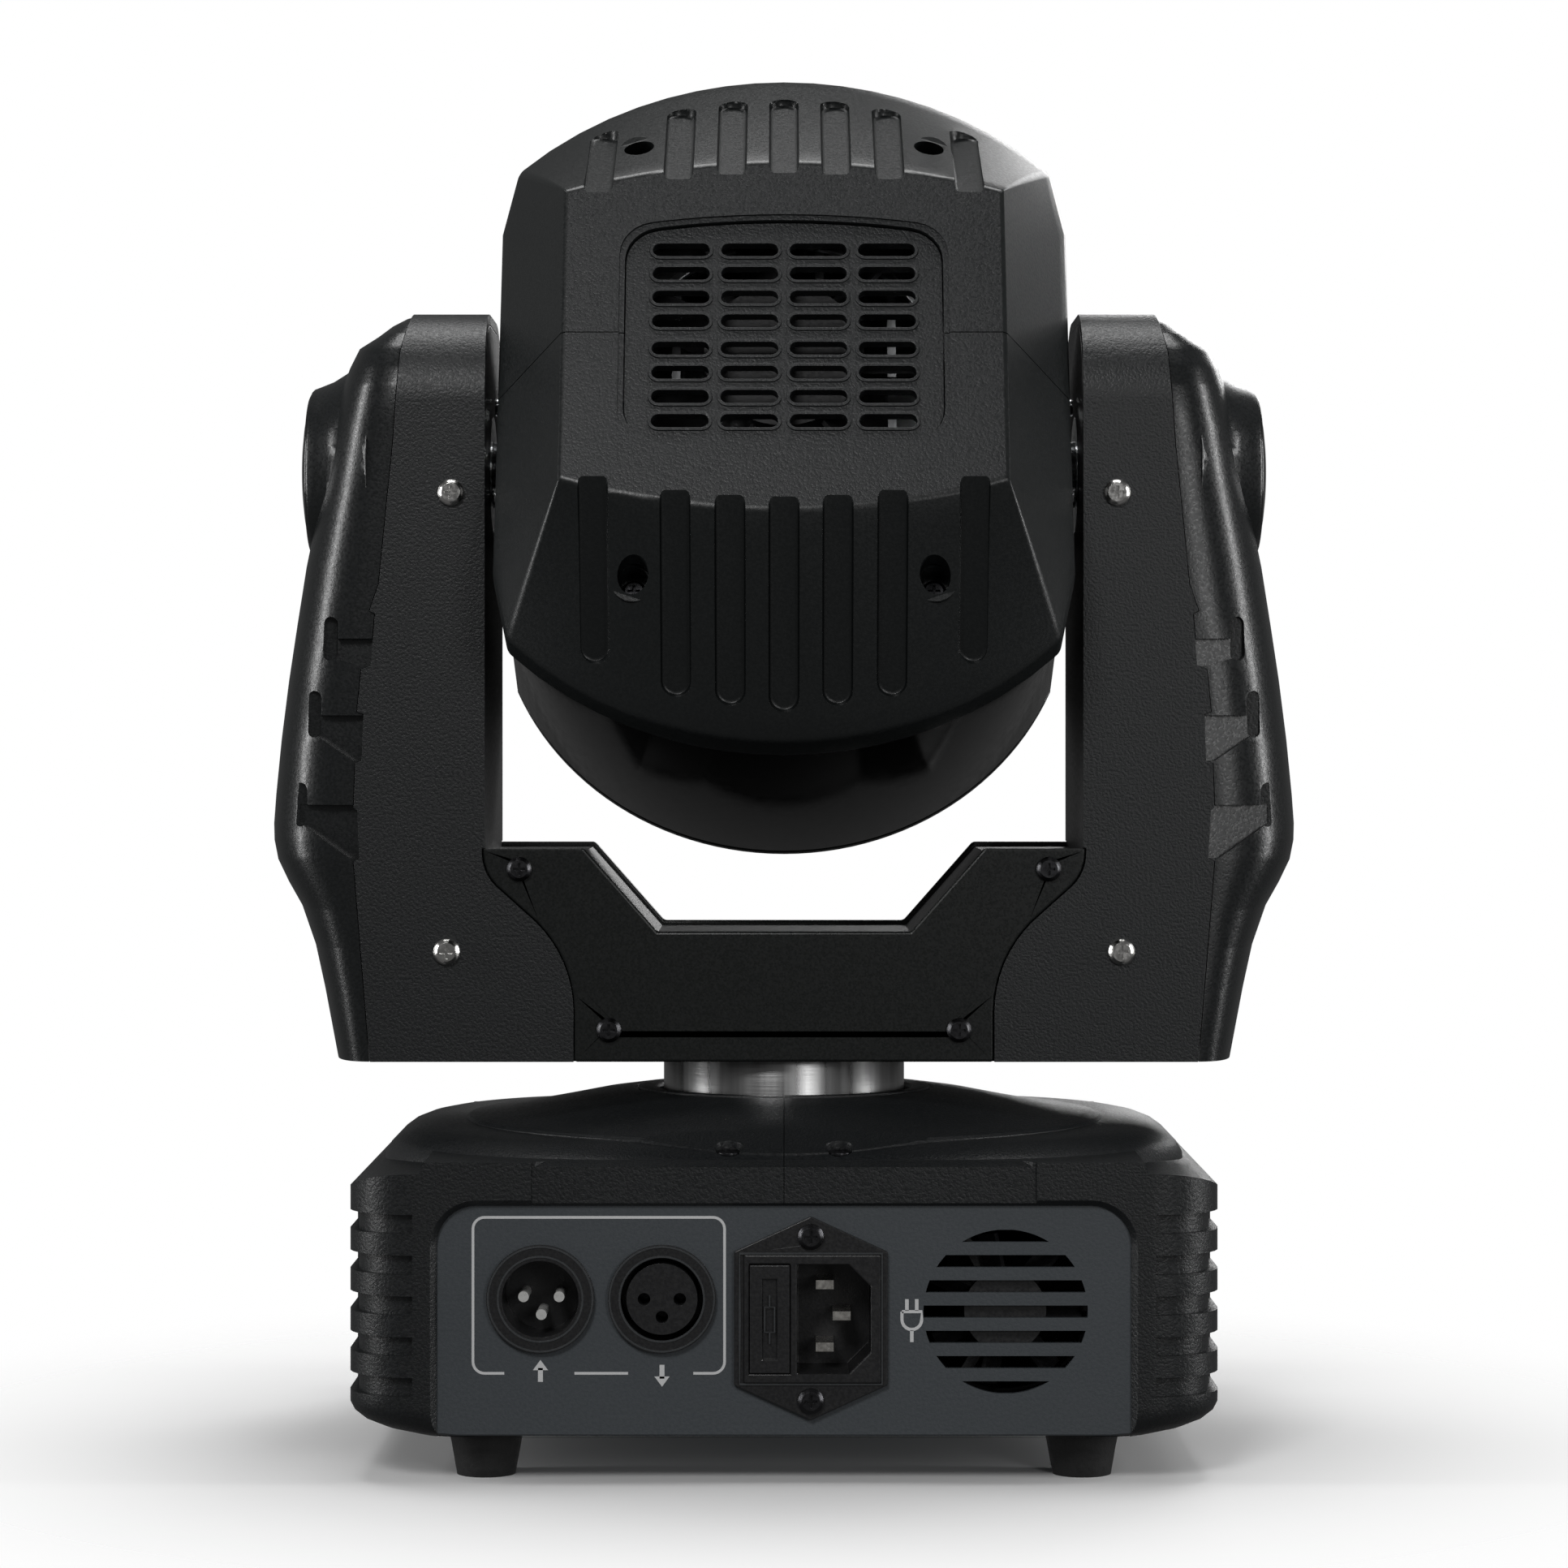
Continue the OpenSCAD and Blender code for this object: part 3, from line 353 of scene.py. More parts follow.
def rounded_ring(half_x, half_y, corner, z, steps=8):
    """A level ring of points round a rectangle with rounded corners."""
    in_x, in_y = half_x - corner, half_y - corner
    return [(x, y, z) for cx, cy, start in ((1, 1, 0), (-1, 1, 90), (-1, -1, 180), (1, -1, 270))
            for x, y in arc(cx * in_x, cy * in_y, corner, start, start + 90, steps)]


def copy_of(piece, name):
    """A new piece with the same mesh, its doubled points joined."""
    made = bmesh.new()
    made.from_mesh(piece.data)
    bmesh.ops.remove_doubles(made, verts=made.verts, dist=1e-6)
    data = bpy.data.meshes.new(name)
    made.to_mesh(data)
    made.free()
    for material in piece.data.materials:
        data.materials.append(material)
    return linked(name, data)


# How far the base's outline tucks in at each height, as [height, inset]
foot_tuck = ((9.9, 19), (10.3, 13), (11.6, 7.5), (13.4, 3.2), (15.2, 1), (17.2, 0))
tray = copy_of(frame["nodes"]["base_chassis"], "tray_and_panel")
tray.data.materials.clear()
tray.data.transform(Matrix.Scale(1 / MM, 4))
tray_x, tray_y, tray_corner = 97.7, 83.4, 15
tucked = [rounded_ring(tray_x - tuck, tray_y - tuck * 0.2, tray_corner, z) for z, tuck in foot_tuck]
carve(tray, [loft("tuck", tucked + [rounded_ring(tray_x, tray_y, tray_corner, 90)])], "INTERSECT")
place_piece(tray, Matrix(), "base", powder_coat, ["base_chassis"], 0.2)

panel_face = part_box("base_chassis")[0].y
signal_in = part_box("input_socket")
signal_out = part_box("output_socket")
signal_height = (signal_in[0].z + signal_in[1].z) / 2
signal_in_x = (signal_in[0].x + signal_in[1].x) / 2
signal_out_x = (signal_out[0].x + signal_out[1].x) / 2
print_left, print_right = signal_in_x - 15.1 * MM, signal_out_x + 14 * MM
print_top, print_bottom = signal_height + 18.2 * MM, signal_height - 16.7 * MM
print_corner = 2.6 * MM
line_width = 0.6 * MM
ink = 0.05 * MM
mark_height = print_bottom


def arrow(name, x, turned_in):
    """A plain arrow: pointing into the light for the input, out of it for the output."""
    tip = -1 if turned_in else 1
    ends = [(x, mark_height + 1.9 * MM * tip), (x, mark_height - 1.2 * MM * tip)]
    shaft = ribbon(name + "_shaft", ends, 1.1 * MM, ink, panel_face)
    head = mesh_piece(name + "_head", [
        (x + dx * MM, panel_face - depth, mark_height + (dz * -tip) * MM)
        for depth in (0, ink) for dx, dz in ((-1.7, 0.7), (1.7, 0.7), (0, 3))],
        [(0, 1, 2), (3, 5, 4), (0, 3, 4, 1), (1, 4, 5, 2), (2, 5, 3, 0)])
    return [shaft, head]


def plug_mark():
    """A plain plug beside the mains inlet: a round body, two pins and the start of its lead."""
    low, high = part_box("mains_inlet")
    x, z, stroke = high.x + 5.4 * MM, (low.z + high.z) / 2, 0.8 * MM
    body = [(x - 2.2 * MM, z + 1.4 * MM), (x + 2.2 * MM, z + 1.4 * MM), (x + 2.2 * MM, z - 0.4 * MM)]
    body += arc(x, z - 0.4 * MM, 2.2 * MM, 0, -180, 10) + [(x - 2.2 * MM, z + 1.4 * MM)]
    marks = [ribbon("plug_body", body, 0.7 * MM, ink, panel_face)]
    for dx, low_z, high_z in ((-1.1, 1.6, 4.2), (1.1, 1.6, 4.2), (0, -2.8, -5.4)):
        line = [(x + dx * MM, z + low_z * MM), (x + dx * MM, z + high_z * MM)]
        marks.append(ribbon("plug_line", line, stroke, ink, panel_face))
    return marks


outline = ([(print_left + 7 * MM, print_bottom)]
           + arc(print_left + print_corner, print_bottom + print_corner, print_corner, 270, 180, 8)
           + arc(print_left + print_corner, print_top - print_corner, print_corner, 180, 90, 8)
           + arc(print_right - print_corner, print_top - print_corner, print_corner, 90, 0, 8)
           + arc(print_right - print_corner, print_bottom + print_corner, print_corner, 0, -90, 8)
           + [(print_right - 7 * MM, print_bottom)])
middle_x = (signal_in_x + signal_out_x) / 2
printing = join("panel_printing", [
    ribbon("outline", outline, line_width, ink, panel_face),
    ribbon("outline_gap", [(middle_x - 6 * MM, print_bottom), (middle_x + 6 * MM, print_bottom)],
           line_width, ink, panel_face),
    *arrow("in_arrow", signal_in_x, True), *arrow("out_arrow", signal_out_x, False), *plug_mark()])
screen_ink = grained("screen_ink", dark=(0.72, 0.73, 0.74), light=(0.8, 0.8, 0.8), roughness=0.6,
                     grains=2500, depth=0.00001)
finish_piece(printing, "base", screen_ink)


# --- Rubber feet ---
# Four turned feet of black rubber, each held up into the tray by a screw through its middle.
rubber = grained("rubber", dark=(0.012, 0.012, 0.012), light=(0.02, 0.02, 0.02), roughness=0.62,
                 spread=0.08, grains=700, depth=0.00003)
dress("rubber_feet", rubber, 0.6 * MM, 3)


# --- Signal connectors ---
# Black nylon round connectors, a socket with three pins set in and one with three sprung contacts.
# Both are pushed through the panel from behind, and each has two raised lips round its opening.
nylon = grained("nylon", dark=(0.013, 0.013, 0.014), light=(0.019, 0.019, 0.020), roughness=0.34,
                spread=0.06, grains=1400, depth=0.00001)
silver_plate = grained("silver_plate", dark=(0.80, 0.80, 0.78), light=(0.86, 0.86, 0.84),
                       roughness=0.3, grains=900, depth=0.000004, metallic=0.35)
dress("input_socket", nylon, 0.5 * MM, 3)
dress("input_socket_pins", silver_plate)
dress("output_socket", nylon, 0.5 * MM, 3)
dress("output_socket_core", nylon, 0.15 * MM)
# The lips, the inlet's border and the fuse mark are in a lighter nylon than the sockets: a painted
# highlight for the light their raised edges catch.
nylon_highlight = grained("nylon_highlight", dark=(0.050, 0.053, 0.056), light=(0.062, 0.065, 0.068),
                    roughness=0.24, grains=1400, depth=0.000004)


def lathe(name, profile, steps=128):
    """A solid turned about Z from a closed profile of [radius, z]."""
    count = len(profile)
    vertices = [(r * math.cos(math.tau * i / steps), r * math.sin(math.tau * i / steps), z)
                for i in range(steps) for r, z in profile]
    faces = [(i * count + k, i * count + (k + 1) % count, ((i + 1) % steps) * count + (k + 1) % count,
              ((i + 1) % steps) * count + k) for i in range(steps) for k in range(count)]
    return outward(mesh_piece(name, vertices, faces))


# Each socket's two lips take the lighter nylon, painted highlight on their edges.
lip_profile = (-0.3, -0.1), (-0.15, 0.22), (0.15, 0.22), (0.3, -0.1)
for side, x, socket in (("input", signal_in_x, signal_in), ("output", signal_out_x, signal_out)):
    lips = join(side + "_socket_lips", [
        lathe("lip", [((radius + across) * MM, rise * MM) for across, rise in lip_profile])
        for radius in (11.7, 9.5)])
    place = Matrix.Translation((x, socket[0].y, signal_height))
    lips.data.transform(place @ Matrix.Rotation(math.pi / 2, 4, "X"))
    finish_piece(lips, "base", nylon_highlight)


# --- Mains inlet ---
# A moulded nylon inlet with three blades and a drawer that holds the fuse. Its flange, with a raised
# border, is screwed to the panel. The drawer has a fuse mark moulded on it and pulls straight out.
dress("mains_inlet", nylon, 0.3 * MM)


def plated(name, colour, roughness, grains=900, depth=0.000004):
    """A plated or bare metal whose gloss wavers with fine handling marks."""
    light = tuple(min(1, c * 1.08) for c in colour)
    return grained(name, colour, light, roughness, grains, depth, spread=0.07, metallic=1.0)


dress("mains_inlet_blades", plated("nickel_blades", colour=(0.66, 0.64, 0.60), roughness=0.28))
dress("fuse_drawer", nylon, 0.25 * MM)
inlet_low, inlet_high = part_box("mains_inlet")
inlet_x, inlet_z = (inlet_low.x + inlet_high.x) / 2, (inlet_low.z + inlet_high.z) / 2
border_x, border_z = 15.9 * MM, 14.6 * MM
# The raised border is drawn in the lighter nylon, a painted highlight along its edges.
border = ribbon("inlet_border", [(inlet_x + dx * border_x, inlet_z + dz * border_z) for dx, dz in (
    (-1, 0), (-1, 1), (1, 1), (1, -1), (-1, -1), (-1, 0))], 0.5 * MM, 0.45 * MM, panel_face - 1.45 * MM)
finish_piece(border, "base", nylon_highlight)
drawer_low, drawer_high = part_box("fuse_drawer")
drawer_x, drawer_z = (drawer_low.x + drawer_high.x) / 2, (drawer_low.z + drawer_high.z) / 2
# The fuse mark is in the lighter nylon too, a painted highlight on its raised lines.
fuse_mark = join("fuse_mark", [
    ribbon("mark_line", [(drawer_x + dx * MM, drawer_z + dz * MM) for dx, dz in line],
           width=0.3 * MM, thickness=0.2 * MM, surface_y=drawer_low.y + 0.05 * MM)
    for line in (((-1.1, 0), (-1.1, 2.8), (1.1, 2.8), (1.1, -2.8), (-1.1, -2.8), (-1.1, 0)),
                 ((0, 2.8), (0, 5.4)), ((0, -2.8), (0, -5.4)))])
finish_piece(fuse_mark, "fuse_holder", nylon_highlight)


def clear_glass(name, colour, roughness):
    """Glass or clear plastic with a faint grain of dust in its gloss."""
    material, tree, shader = new_material(name, {
        "Base Color": (*colour, 1), "Transmission Weight": 1, "IOR": 1.49})
    grain = add_node(tree, "Group", node_tree=moulded_grain)
    rough = add_node(tree, "MapRange", {"To Min": roughness * 0.5, "To Max": roughness * 1.5})
    wire(tree, (grain, "Mottle", rough, "Value"), (rough, "Result", shader, "Roughness"))
    return material


dress("fuse", clear_glass("fuse_glass", (0.95, 0.97, 0.97), 0.05), 0.2 * MM)


# --- Base fan ---
# A 40 mm axial fan of black glass-filled plastic, screwed behind six slots in the panel. Its rotor
# turns on the hub of the frame.
fan_plastic = grained("fan_plastic", dark=(0.010, 0.010, 0.011), light=(0.017, 0.017, 0.018),
                      roughness=0.4, spread=0.08, grains=1100, depth=0.00001)
dress("base_fan_frame", fan_plastic, 0.3 * MM)
dress("base_fan_rotor", fan_plastic, 0.2 * MM)


# --- Power supply and control board ---
# A switching supply in a pressed steel case stands in the tray's side, and the control board hangs
# behind the display. Both are screwed to posts.
bare_aluminium = plated("bare_aluminium", colour=(0.60, 0.61, 0.62), roughness=0.38, grains=500,
                        depth=0.00001)
dress("power_supply", bare_aluminium, 0.4 * MM)
board_green = grained("board_green", dark=(0.006, 0.075, 0.030), light=(0.010, 0.105, 0.045),
                      roughness=0.36, grains=1600, depth=0.000005)
dress("control_board", board_green, 0.15 * MM)


# --- Display and buttons ---
# A moulded bezel on the far side of the base, with a dark acrylic window over the display and four
# grey buttons that press in against the board's switches.
bezel_black = grained("bezel_black", dark=(0.011, 0.011, 0.012), light=(0.016, 0.016, 0.017),
                      roughness=0.32, grains=1500, depth=0.000008)
dress("display_bezel", bezel_black, 0.5 * MM, 3)
window_dark = grained("window_dark", dark=(0.004, 0.005, 0.007), light=(0.006, 0.007, 0.009),
                      roughness=0.08, spread=0.03, grains=300, depth=0.000001, coat=0.6)
dress("display_window", window_dark, 0.3 * MM)
button_grey = grained("button_grey", dark=(0.16, 0.165, 0.17), light=(0.20, 0.205, 0.21),
                      roughness=0.42, spread=0.06, grains=1300, depth=0.00001)
for button in ("mode", "down", "up", "enter"):
    dress("menu_button_" + button, button_grey, 0.5 * MM, 3)


# --- Base covers ---
# Two mirrored halves of textured black ABS meet in a seam down the middle and clip round the tray.
# Each is moulded in one, with its stepped top, its domed crown and the finger ribs at the corners.
textured_black = grained("textured_black", dark=(0.0060, 0.0070, 0.0077),
                         light=(0.0088, 0.0102, 0.0112), roughness=0.42, spread=0.07, grains=1500,
                         depth=0.000045)
cover_x, cover_y, cover_corner, cover_wall = 98.3, 84, 16, 2.4
shoulder_x, shoulder_z, cover_top, side_z = 80.5, 69.6, 72.2, 64.7


def cover_body(name, inset, top):
    """The cover's straight sides, tucked in towards the feet."""
    rings = [rounded_ring(cover_x - inset - tuck, cover_y - inset - tuck * 0.2, cover_corner - inset, z)
             for z, tuck in foot_tuck]
    rings.append(rounded_ring(cover_x - inset, cover_y - inset, cover_corner - inset, top))
    return loft(name, rings)


def along_y(name, outline, front, back):
    """A solid with an outline in [x, z], from y = front to y = back."""
    return loft(name, [[(x, y, z) for x, z in outline] for y in (front, back)])


def flat_solid(name, outline, low, high):
    """A solid with an outline in [x, y], from z = low to z = high."""
    return loft(name, [[(x, y, z) for x, y in outline] for z in (low, high)])


def shoulders(top):
    """Outline in [x, z] under the body's top: level in the middle, stepped down and rounded outside."""
    side = [(shoulder_x, top), (shoulder_x + 1, shoulder_z)]
    drop = shoulder_z - side_z
    for k in range(1, 9):
        turn = math.pi / 2 * k / 8
        side.append((shoulder_x + 1 + (cover_x - 0.6 - shoulder_x) * math.sin(turn),
                     shoulder_z - drop * (1 - math.cos(turn))))
    side.append((cover_x + 0.4, 0))
    return [(-x, z) for x, z in reversed(side)] + side


cover = cover_body("base_cover", 0, cover_top)
carve(cover, [along_y("shoulders", shoulders(cover_top), -90, 90)], "INTERSECT")
tier = loft("tier", [rounded_ring(94.4 - inset, 80 - inset, 58 - inset, z, 20) for z, inset in (
    (60, 0), (66.5, 0), (69.5, 0.4), (71.6, 1.6), (73.2, 3.8), (74.6, 7.4), (75.3, 11), (75.6, 16))])
crown_form = lathe("crown", [(30.5, 68), (76.5, 68), (76.5, 75.8), (75.8, 76.4), (74.2, 76.7), (66, 77.7),
                             (56, 79.6), (46, 81.6), (38, 82.7), (36.4, 82.7), (36.2, 82.2), (35.2, 82.2),
                             (35, 83), (33.6, 83.2), (31.2, 82.9), (30.5, 82.2)])
carve(cover, [tier], "UNION")
carve(cover, [crown_form], "UNION")
apron_back, apron_front = 56.5, 38
carve(cover, [loft("apron", [[(-x, y, z), (x, y, z), (x, y, 99), (-x, y, 99)] for x, y, z in (
    (apron_back + 0.4, -cover_y - 1, 70.4), (apron_front, -58, 80.3))])])
recess_outline = [(-apron_back, 50), (apron_back, 50), (apron_back, 90), (-apron_back, 90)]
carve(cover, [along_y("apron_recess", recess_outline, -90, -cover_y + 0.9)])
carve(cover, [cover_body("tray_room", cover_wall, 62)])
carve(cover, [loft("top_room", [rounded_ring(cover_x - x, cover_y - x * 0.8, 12, z)
                                for z, x in ((61, 5), (66, 14), (71, 27), (73, 38))])])
carve(cover, [lathe("spindle_way", [(0.01, 40), (30.5, 40), (30.5, 99), (0.01, 99)])])


opening_half, opening_corner, opening_top = 77.7, 9, 62.4


def opening(grow):
    half, corner, top = opening_half + grow, opening_corner + grow, opening_top + grow
    return ([(half, 0)] + arc(half - corner, top - corner, corner, 0, 90, 8)
            + arc(-half + corner, top - corner, corner, 90, 180, 8) + [(-half, 0)])


carve(cover, [along_y("opening", opening(0), -90, -78)])
carve(cover, [loft("opening_edge", [[(x, y, z) for x, z in opening(grow)]
                                    for y, grow in ((-cover_y - 1, 2.1), (-cover_y + 1.9, -0.1))])])
groove_low, groove_pitch, groove_half, groove_depth = 21.9, 9.1, 2.15, 2
groove_bend = arc(cover_x - cover_corner, -cover_y + cover_corner, cover_corner - groove_depth,
                  -87, 0, 10)
groove_plan = [(83, -90)] + groove_bend + [(cover_x - groove_depth, -50), (104, -50), (104, -90)]
for flip_x, flip_y in ((1, 1), (-1, 1), (1, -1), (-1, -1)):
    outline = [(x * flip_x, y * flip_y) for x, y in groove_plan]
    carve(cover, [flat_solid("groove", outline, z - groove_half, z + groove_half)
                  for z in (groove_low + groove_pitch * row for row in range(5))])
carve(cover, [along_y("bezel_way", fillet([(-45.3, 23.7), (45.3, 23.7), (45.3, 56.3), (-45.3, 56.3)],
                                          [5, 5, 5, 5]), 78, 90)])
carve(cover, [flat_solid("screw_recess", round_outline(x, -73.5, 3.3), 72.7, 90)
              for x in (-12.4, 12.4)])
seam_gap = 0.08
for side, sign in (("left", -1), ("right", 1)):
    cover_half = copy_of(cover, "base_cover_%s_moulding" % side)
    keep = [(x * sign, z) for x, z in ((seam_gap, -5), (120, -5), (120, 99), (seam_gap, 99))]
    carve(cover_half, [along_y("keep", keep, -99, 99)], "INTERSECT")
    place_piece(cover_half, Matrix(), "base", textured_black, ["base_cover_" + side],
                edge=0.45, angle=28)
bpy.data.objects.remove(cover)


# --- Base screws ---
# Black zinc-plated screws hold the covers, the inlet and the boards.
black_zinc = plated("black_zinc", colour=(0.045, 0.045, 0.048), roughness=0.34)
dress("base_screws", black_zinc, 0.15 * MM)


# --- Pan drive ---
# The yoke turns in a bearing screwed to a plate across the tray. A stepper motor drives it through
# a toothed belt and two aluminium pulleys.
bearing_steel = plated("bearing_steel", colour=(0.56, 0.57, 0.58), roughness=0.2)
motor_black = grained("motor_black", dark=(0.014, 0.014, 0.015), light=(0.022, 0.022, 0.023),
                      roughness=0.36, spread=0.08, grains=800, depth=0.00001)
belt_rubber = grained("belt_rubber", dark=(0.010, 0.010, 0.010), light=(0.018, 0.018, 0.018),
                      roughness=0.7, spread=0.08, grains=900, depth=0.00002)
for node, material in (("pan_bearing_plate", bare_aluminium), ("pan_bearing", bearing_steel),
                       ("pan_motor", motor_black), ("pan_motor_pulley", bare_aluminium),
                       ("pan_belt", belt_rubber), ("pan_driven_pulley", bare_aluminium)):
    dress(node, material, 0.2 * MM)


# --- Pan spindle ---
# A hollow spindle of turned steel, left bright, carries the yoke. Its collar shows between the base
# and the yoke.
def turned(name, colour, roughness):
    """Steel turned on a lathe: fine rings, with painted reflection streaks of light and dark in its
    colour that run up its side.
    """
    material, tree, shader = new_material(name, {"Metallic": 1})
    place = add_node(tree, "TexCoord")
    up_stretch = add_node(tree, "Mapping", {"Scale": (1, 1, 0.03)})
    reflection_streaks = add_node(tree, "TexNoise", {"Scale": 420, "Detail": 3})
    rings_stretch = add_node(tree, "Mapping", {"Scale": (0.02, 0.02, 1)})
    rings = add_node(tree, "TexNoise", {"Scale": 2600})
    # Painted reflection: the colour darkens and lightens in streaks up the side, standing for reflected
    # light; only the roughness change is the metal's own.
    painted_reflection_tint = add_node(tree, "Mix", {"A": (*(c * 0.45 for c in colour), 1), "B": (*colour, 1)},
                    data_type="RGBA")
    rough = add_node(tree, "MapRange", {"To Min": roughness * 0.6, "To Max": roughness * 1.4})
    bump = add_node(tree, "Bump", {"Distance": 0.00002})
    wire(tree, (place, "Object", up_stretch, "Vector"), (up_stretch, "Vector", reflection_streaks, "Vector"),
         (place, "Object", rings_stretch, "Vector"), (rings_stretch, "Vector", rings, "Vector"),
         (reflection_streaks, "Fac", painted_reflection_tint, "Factor"), (painted_reflection_tint, "Result", shader, "Base Color"),
         (reflection_streaks, "Fac", rough, "Value"), (rough, "Result", shader, "Roughness"),
         (rings, "Fac", bump, "Height"), (bump, "Normal", shader, "Normal"))
    return material


dress("pan_spindle", turned("turned_steel", (0.46, 0.46, 0.46), 0.3), 0.2 * MM)


# --- Yoke frame ---
# A folded steel crossbeam is bolted to the spindle, and a plate stands up from each of its ends.
# They are powder coated black and hidden by the covers.
frame_black = grained("frame_black", dark=(0.014, 0.014, 0.015), light=(0.020, 0.020, 0.021),
                      roughness=0.45, spread=0.06, grains=900, depth=0.00002)
for node in ("yoke_crossbeam", "arm_plate_left", "arm_plate_right"):
    dress(node, frame_black, 0.3 * MM)


# --- Yoke covers ---
# Smooth satin black ABS skins close the crossbeam from behind and in front and reach up the inside
# of each arm, screwed to the frame.
satin_black = grained("satin_black", dark=(0.0045, 0.0057, 0.0053), light=(0.0060, 0.0073, 0.0068),
                      roughness=0.30, grains=1900, depth=0.000006)
dress("yoke_rear_cover", satin_black, 0.6 * MM, 3)
dress("yoke_front_cover", satin_black, 0.6 * MM, 3)


# --- Arm shells ---
# Textured ABS half shells clip over the arm plates, with an S-shaped edge against the yoke covers and
# a stepped edge where the outer cover meets them. Two screws on each face hold them.
yoke_low, yoke_high = (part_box("arm_shell_right")[i].z / MM for i in (0, 1))
arm_inner, arm_half, arm_round, arm_wall = 70.1, 34, 22, 2.4
join_steps = [(88.2, 268), (90.1, 258), (91.6, 236), (94.9, 203), (97.1, 196.6), (95.8, 196),
              (96.8, 183.8), (99, 183), (100, 173), (98.5, 172.5), (98.9, 161.6), (100.4, 161),
              (100.8, 150.5), (100, 150), (99.4, 138.7), (100.8, 138), (97.1, 92.2), (97, 91)]
s_seam = ([(49.3, 91)] + arc(79.3, 102.5, 30, 180, 135, 8) + arc(59.8, 140, 11, -45, 0, 6)
          + [(70.8, 141.2), (arm_inner, 141.2)])


def side_profile(inset):
    """Outline of an arm seen from its side, in [y, z], round at its two top corners."""
    half, radius, top = arm_half - inset, arm_round - inset, yoke_high - inset
    return ([(half, yoke_low)] + arc(half - radius, top - radius, radius, 0, 90, 14)
            + arc(-half + radius, top - radius, radius, 90, 180, 14) + [(-half, yoke_low)])


def along_x(name, outline, near, far):
    """A solid with an outline in [y, z], from x = near to x = far."""
    return loft(name, [[(x, y, z) for y, z in outline] for x in (near, far)])


def mirrored(piece, name):
    """The same moulding for the other side of the light."""
    twin = copy_of(piece, name)
    twin.data.transform(Matrix.Scale(-1, 4, (1, 0, 0)))
    twin.data.flip_normals()
    return twin


def both_sides(piece, name, body, finish, edge, angle=32):
    """Places a right-hand piece and its mirror image over their CAD nodes."""
    twin = mirrored(piece, name + "_left_moulding")
    piece.name = name + "_right_moulding"
    for made, side in ((twin, "_left"), (piece, "_right")):
        place_piece(made, Matrix(), body, finish, [name + side], edge, angle)


arm_shell = along_y("arm_shell", s_seam + [(arm_inner, yoke_high)] + join_steps, -arm_half, arm_half)
carve(arm_shell, [along_x("sides", side_profile(0), 40, 110)], "INTERSECT")
carve(arm_shell, [along_x("hollow", side_profile(arm_wall), 40, 110)])
inner_side = [(40, 80), (arm_inner + 0.1, 80), (arm_inner + 0.1, 280), (40, 280)]
carve(arm_shell, [along_y("inner_side", inner_side, -arm_half + arm_wall, arm_half - arm_wall)])
both_sides(arm_shell, "arm_shell", "yoke", textured_black, 0.7)


# --- Arm covers ---
# Bowed outer covers of satin ABS over the tilt bearings, each with a flared boss for the hub cap
# and three grip pockets in both of its edges.
cover_line = [(106.7, 91), (109.9, 107.4), (112.2, 117.7), (115.5, 127), (118.8, 132.7),
              (121.4, 138), (122.3, 142.5), (122.4, 146.5), (121.9, 153.3), (120.6, 166.4),
              (118.8, 180.6), (116.7, 194.5), (114.6, 207.8), (111, 225), (108, 241),
              (105.6, 250.6), (104.2, 255), (102, 259.6), (97.6, 262.4), (94.3, 265), (91, 267),
              (88.9, 267.6)]
seam_line = [(97, 91), (100.8, 138), (99.8, 165), (97.5, 190), (94.9, 203), (91.6, 236), (90.1, 258),
             (88, 268)]
cover_gap, bow_power = 0.6, 0.72


def across_at(line, z):
    """The x of a line of [x, z] points, lowest first, at height z."""
    for (x0, z0), (x1, z1) in zip(line, line[1:]):
        if z0 <= z <= z1:
            return mix(x0, x1, (z - z0) / (z1 - z0))
    return line[-1][0] if z > line[-1][1] else line[0][0]


def mix(a, b, share):
    return a + (b - a) * share


def bowed_cover(name, inset, behind):
    """The cover's bow, lofted from level rings; it starts inside the arm shell by the width behind."""
    rings = []
    heights = {z for _, z in cover_line} | {cover_line[0][1] + 4.4 * k for k in range(41)}
    for z in sorted(z for z in heights if z <= yoke_high - 0.5):
        half = arm_half - cover_gap - inset
        above = z - (yoke_high - cover_gap - arm_round)
        if above > 0:
            half += math.sqrt(max(arm_round ** 2 - above ** 2, 1)) - arm_round
        inner = across_at(seam_line, z) - behind
        outer = max(across_at(cover_line, z) - inset, inner + 0.8)
        bow = []
        for k in range(33):
            turn = math.pi * (k / 32 - 0.5)
            bow.append((inner + (outer - inner) * abs(math.cos(turn)) ** bow_power,
                        half * math.copysign(abs(math.sin(turn)) ** bow_power, turn)))
        rings.append([(x, y, z) for x, y in bow])
    return loft(name, rings)


def about_tilt(name, profile):
    """A solid turned about the tilt axis from a closed profile of [radius, x]."""
    piece = lathe(name, profile, 96)
    piece.data.transform(Matrix.Translation((0, 0, tilt_z)) @ Matrix.Rotation(math.pi / 2, 4, "Y"))
    return outward(piece)


tilt_joint = next(j for j in frame["joints"] if j["name"] == "tilt")
tilt_z = tilt_joint["pos_m"][2] / MM
arm_cover = bowed_cover("arm_cover", 0, 2)
boss_profile = [(0.05, 98), (33, 98), (30, 100.2), (27, 102.4), (24.4, 105.2), (22.4, 108.4),
                (21.2, 111.4), (20.6, 113), (20.1, 113.5), (0.05, 113.5)]
carve(arm_cover, [about_tilt("boss", boss_profile)], "UNION")
carve(arm_cover, [bowed_cover("hollow", 5, 8)])
keep = [(x + 0.25, z) for x, z in join_steps] + [(130, 91), (130, 268)]
carve(arm_cover, [along_y("keep", keep, -60, 60)], "INTERSECT")
carve(arm_cover, [along_x("axle_way", round_outline(0, tilt_z, 12), 80, 112)])
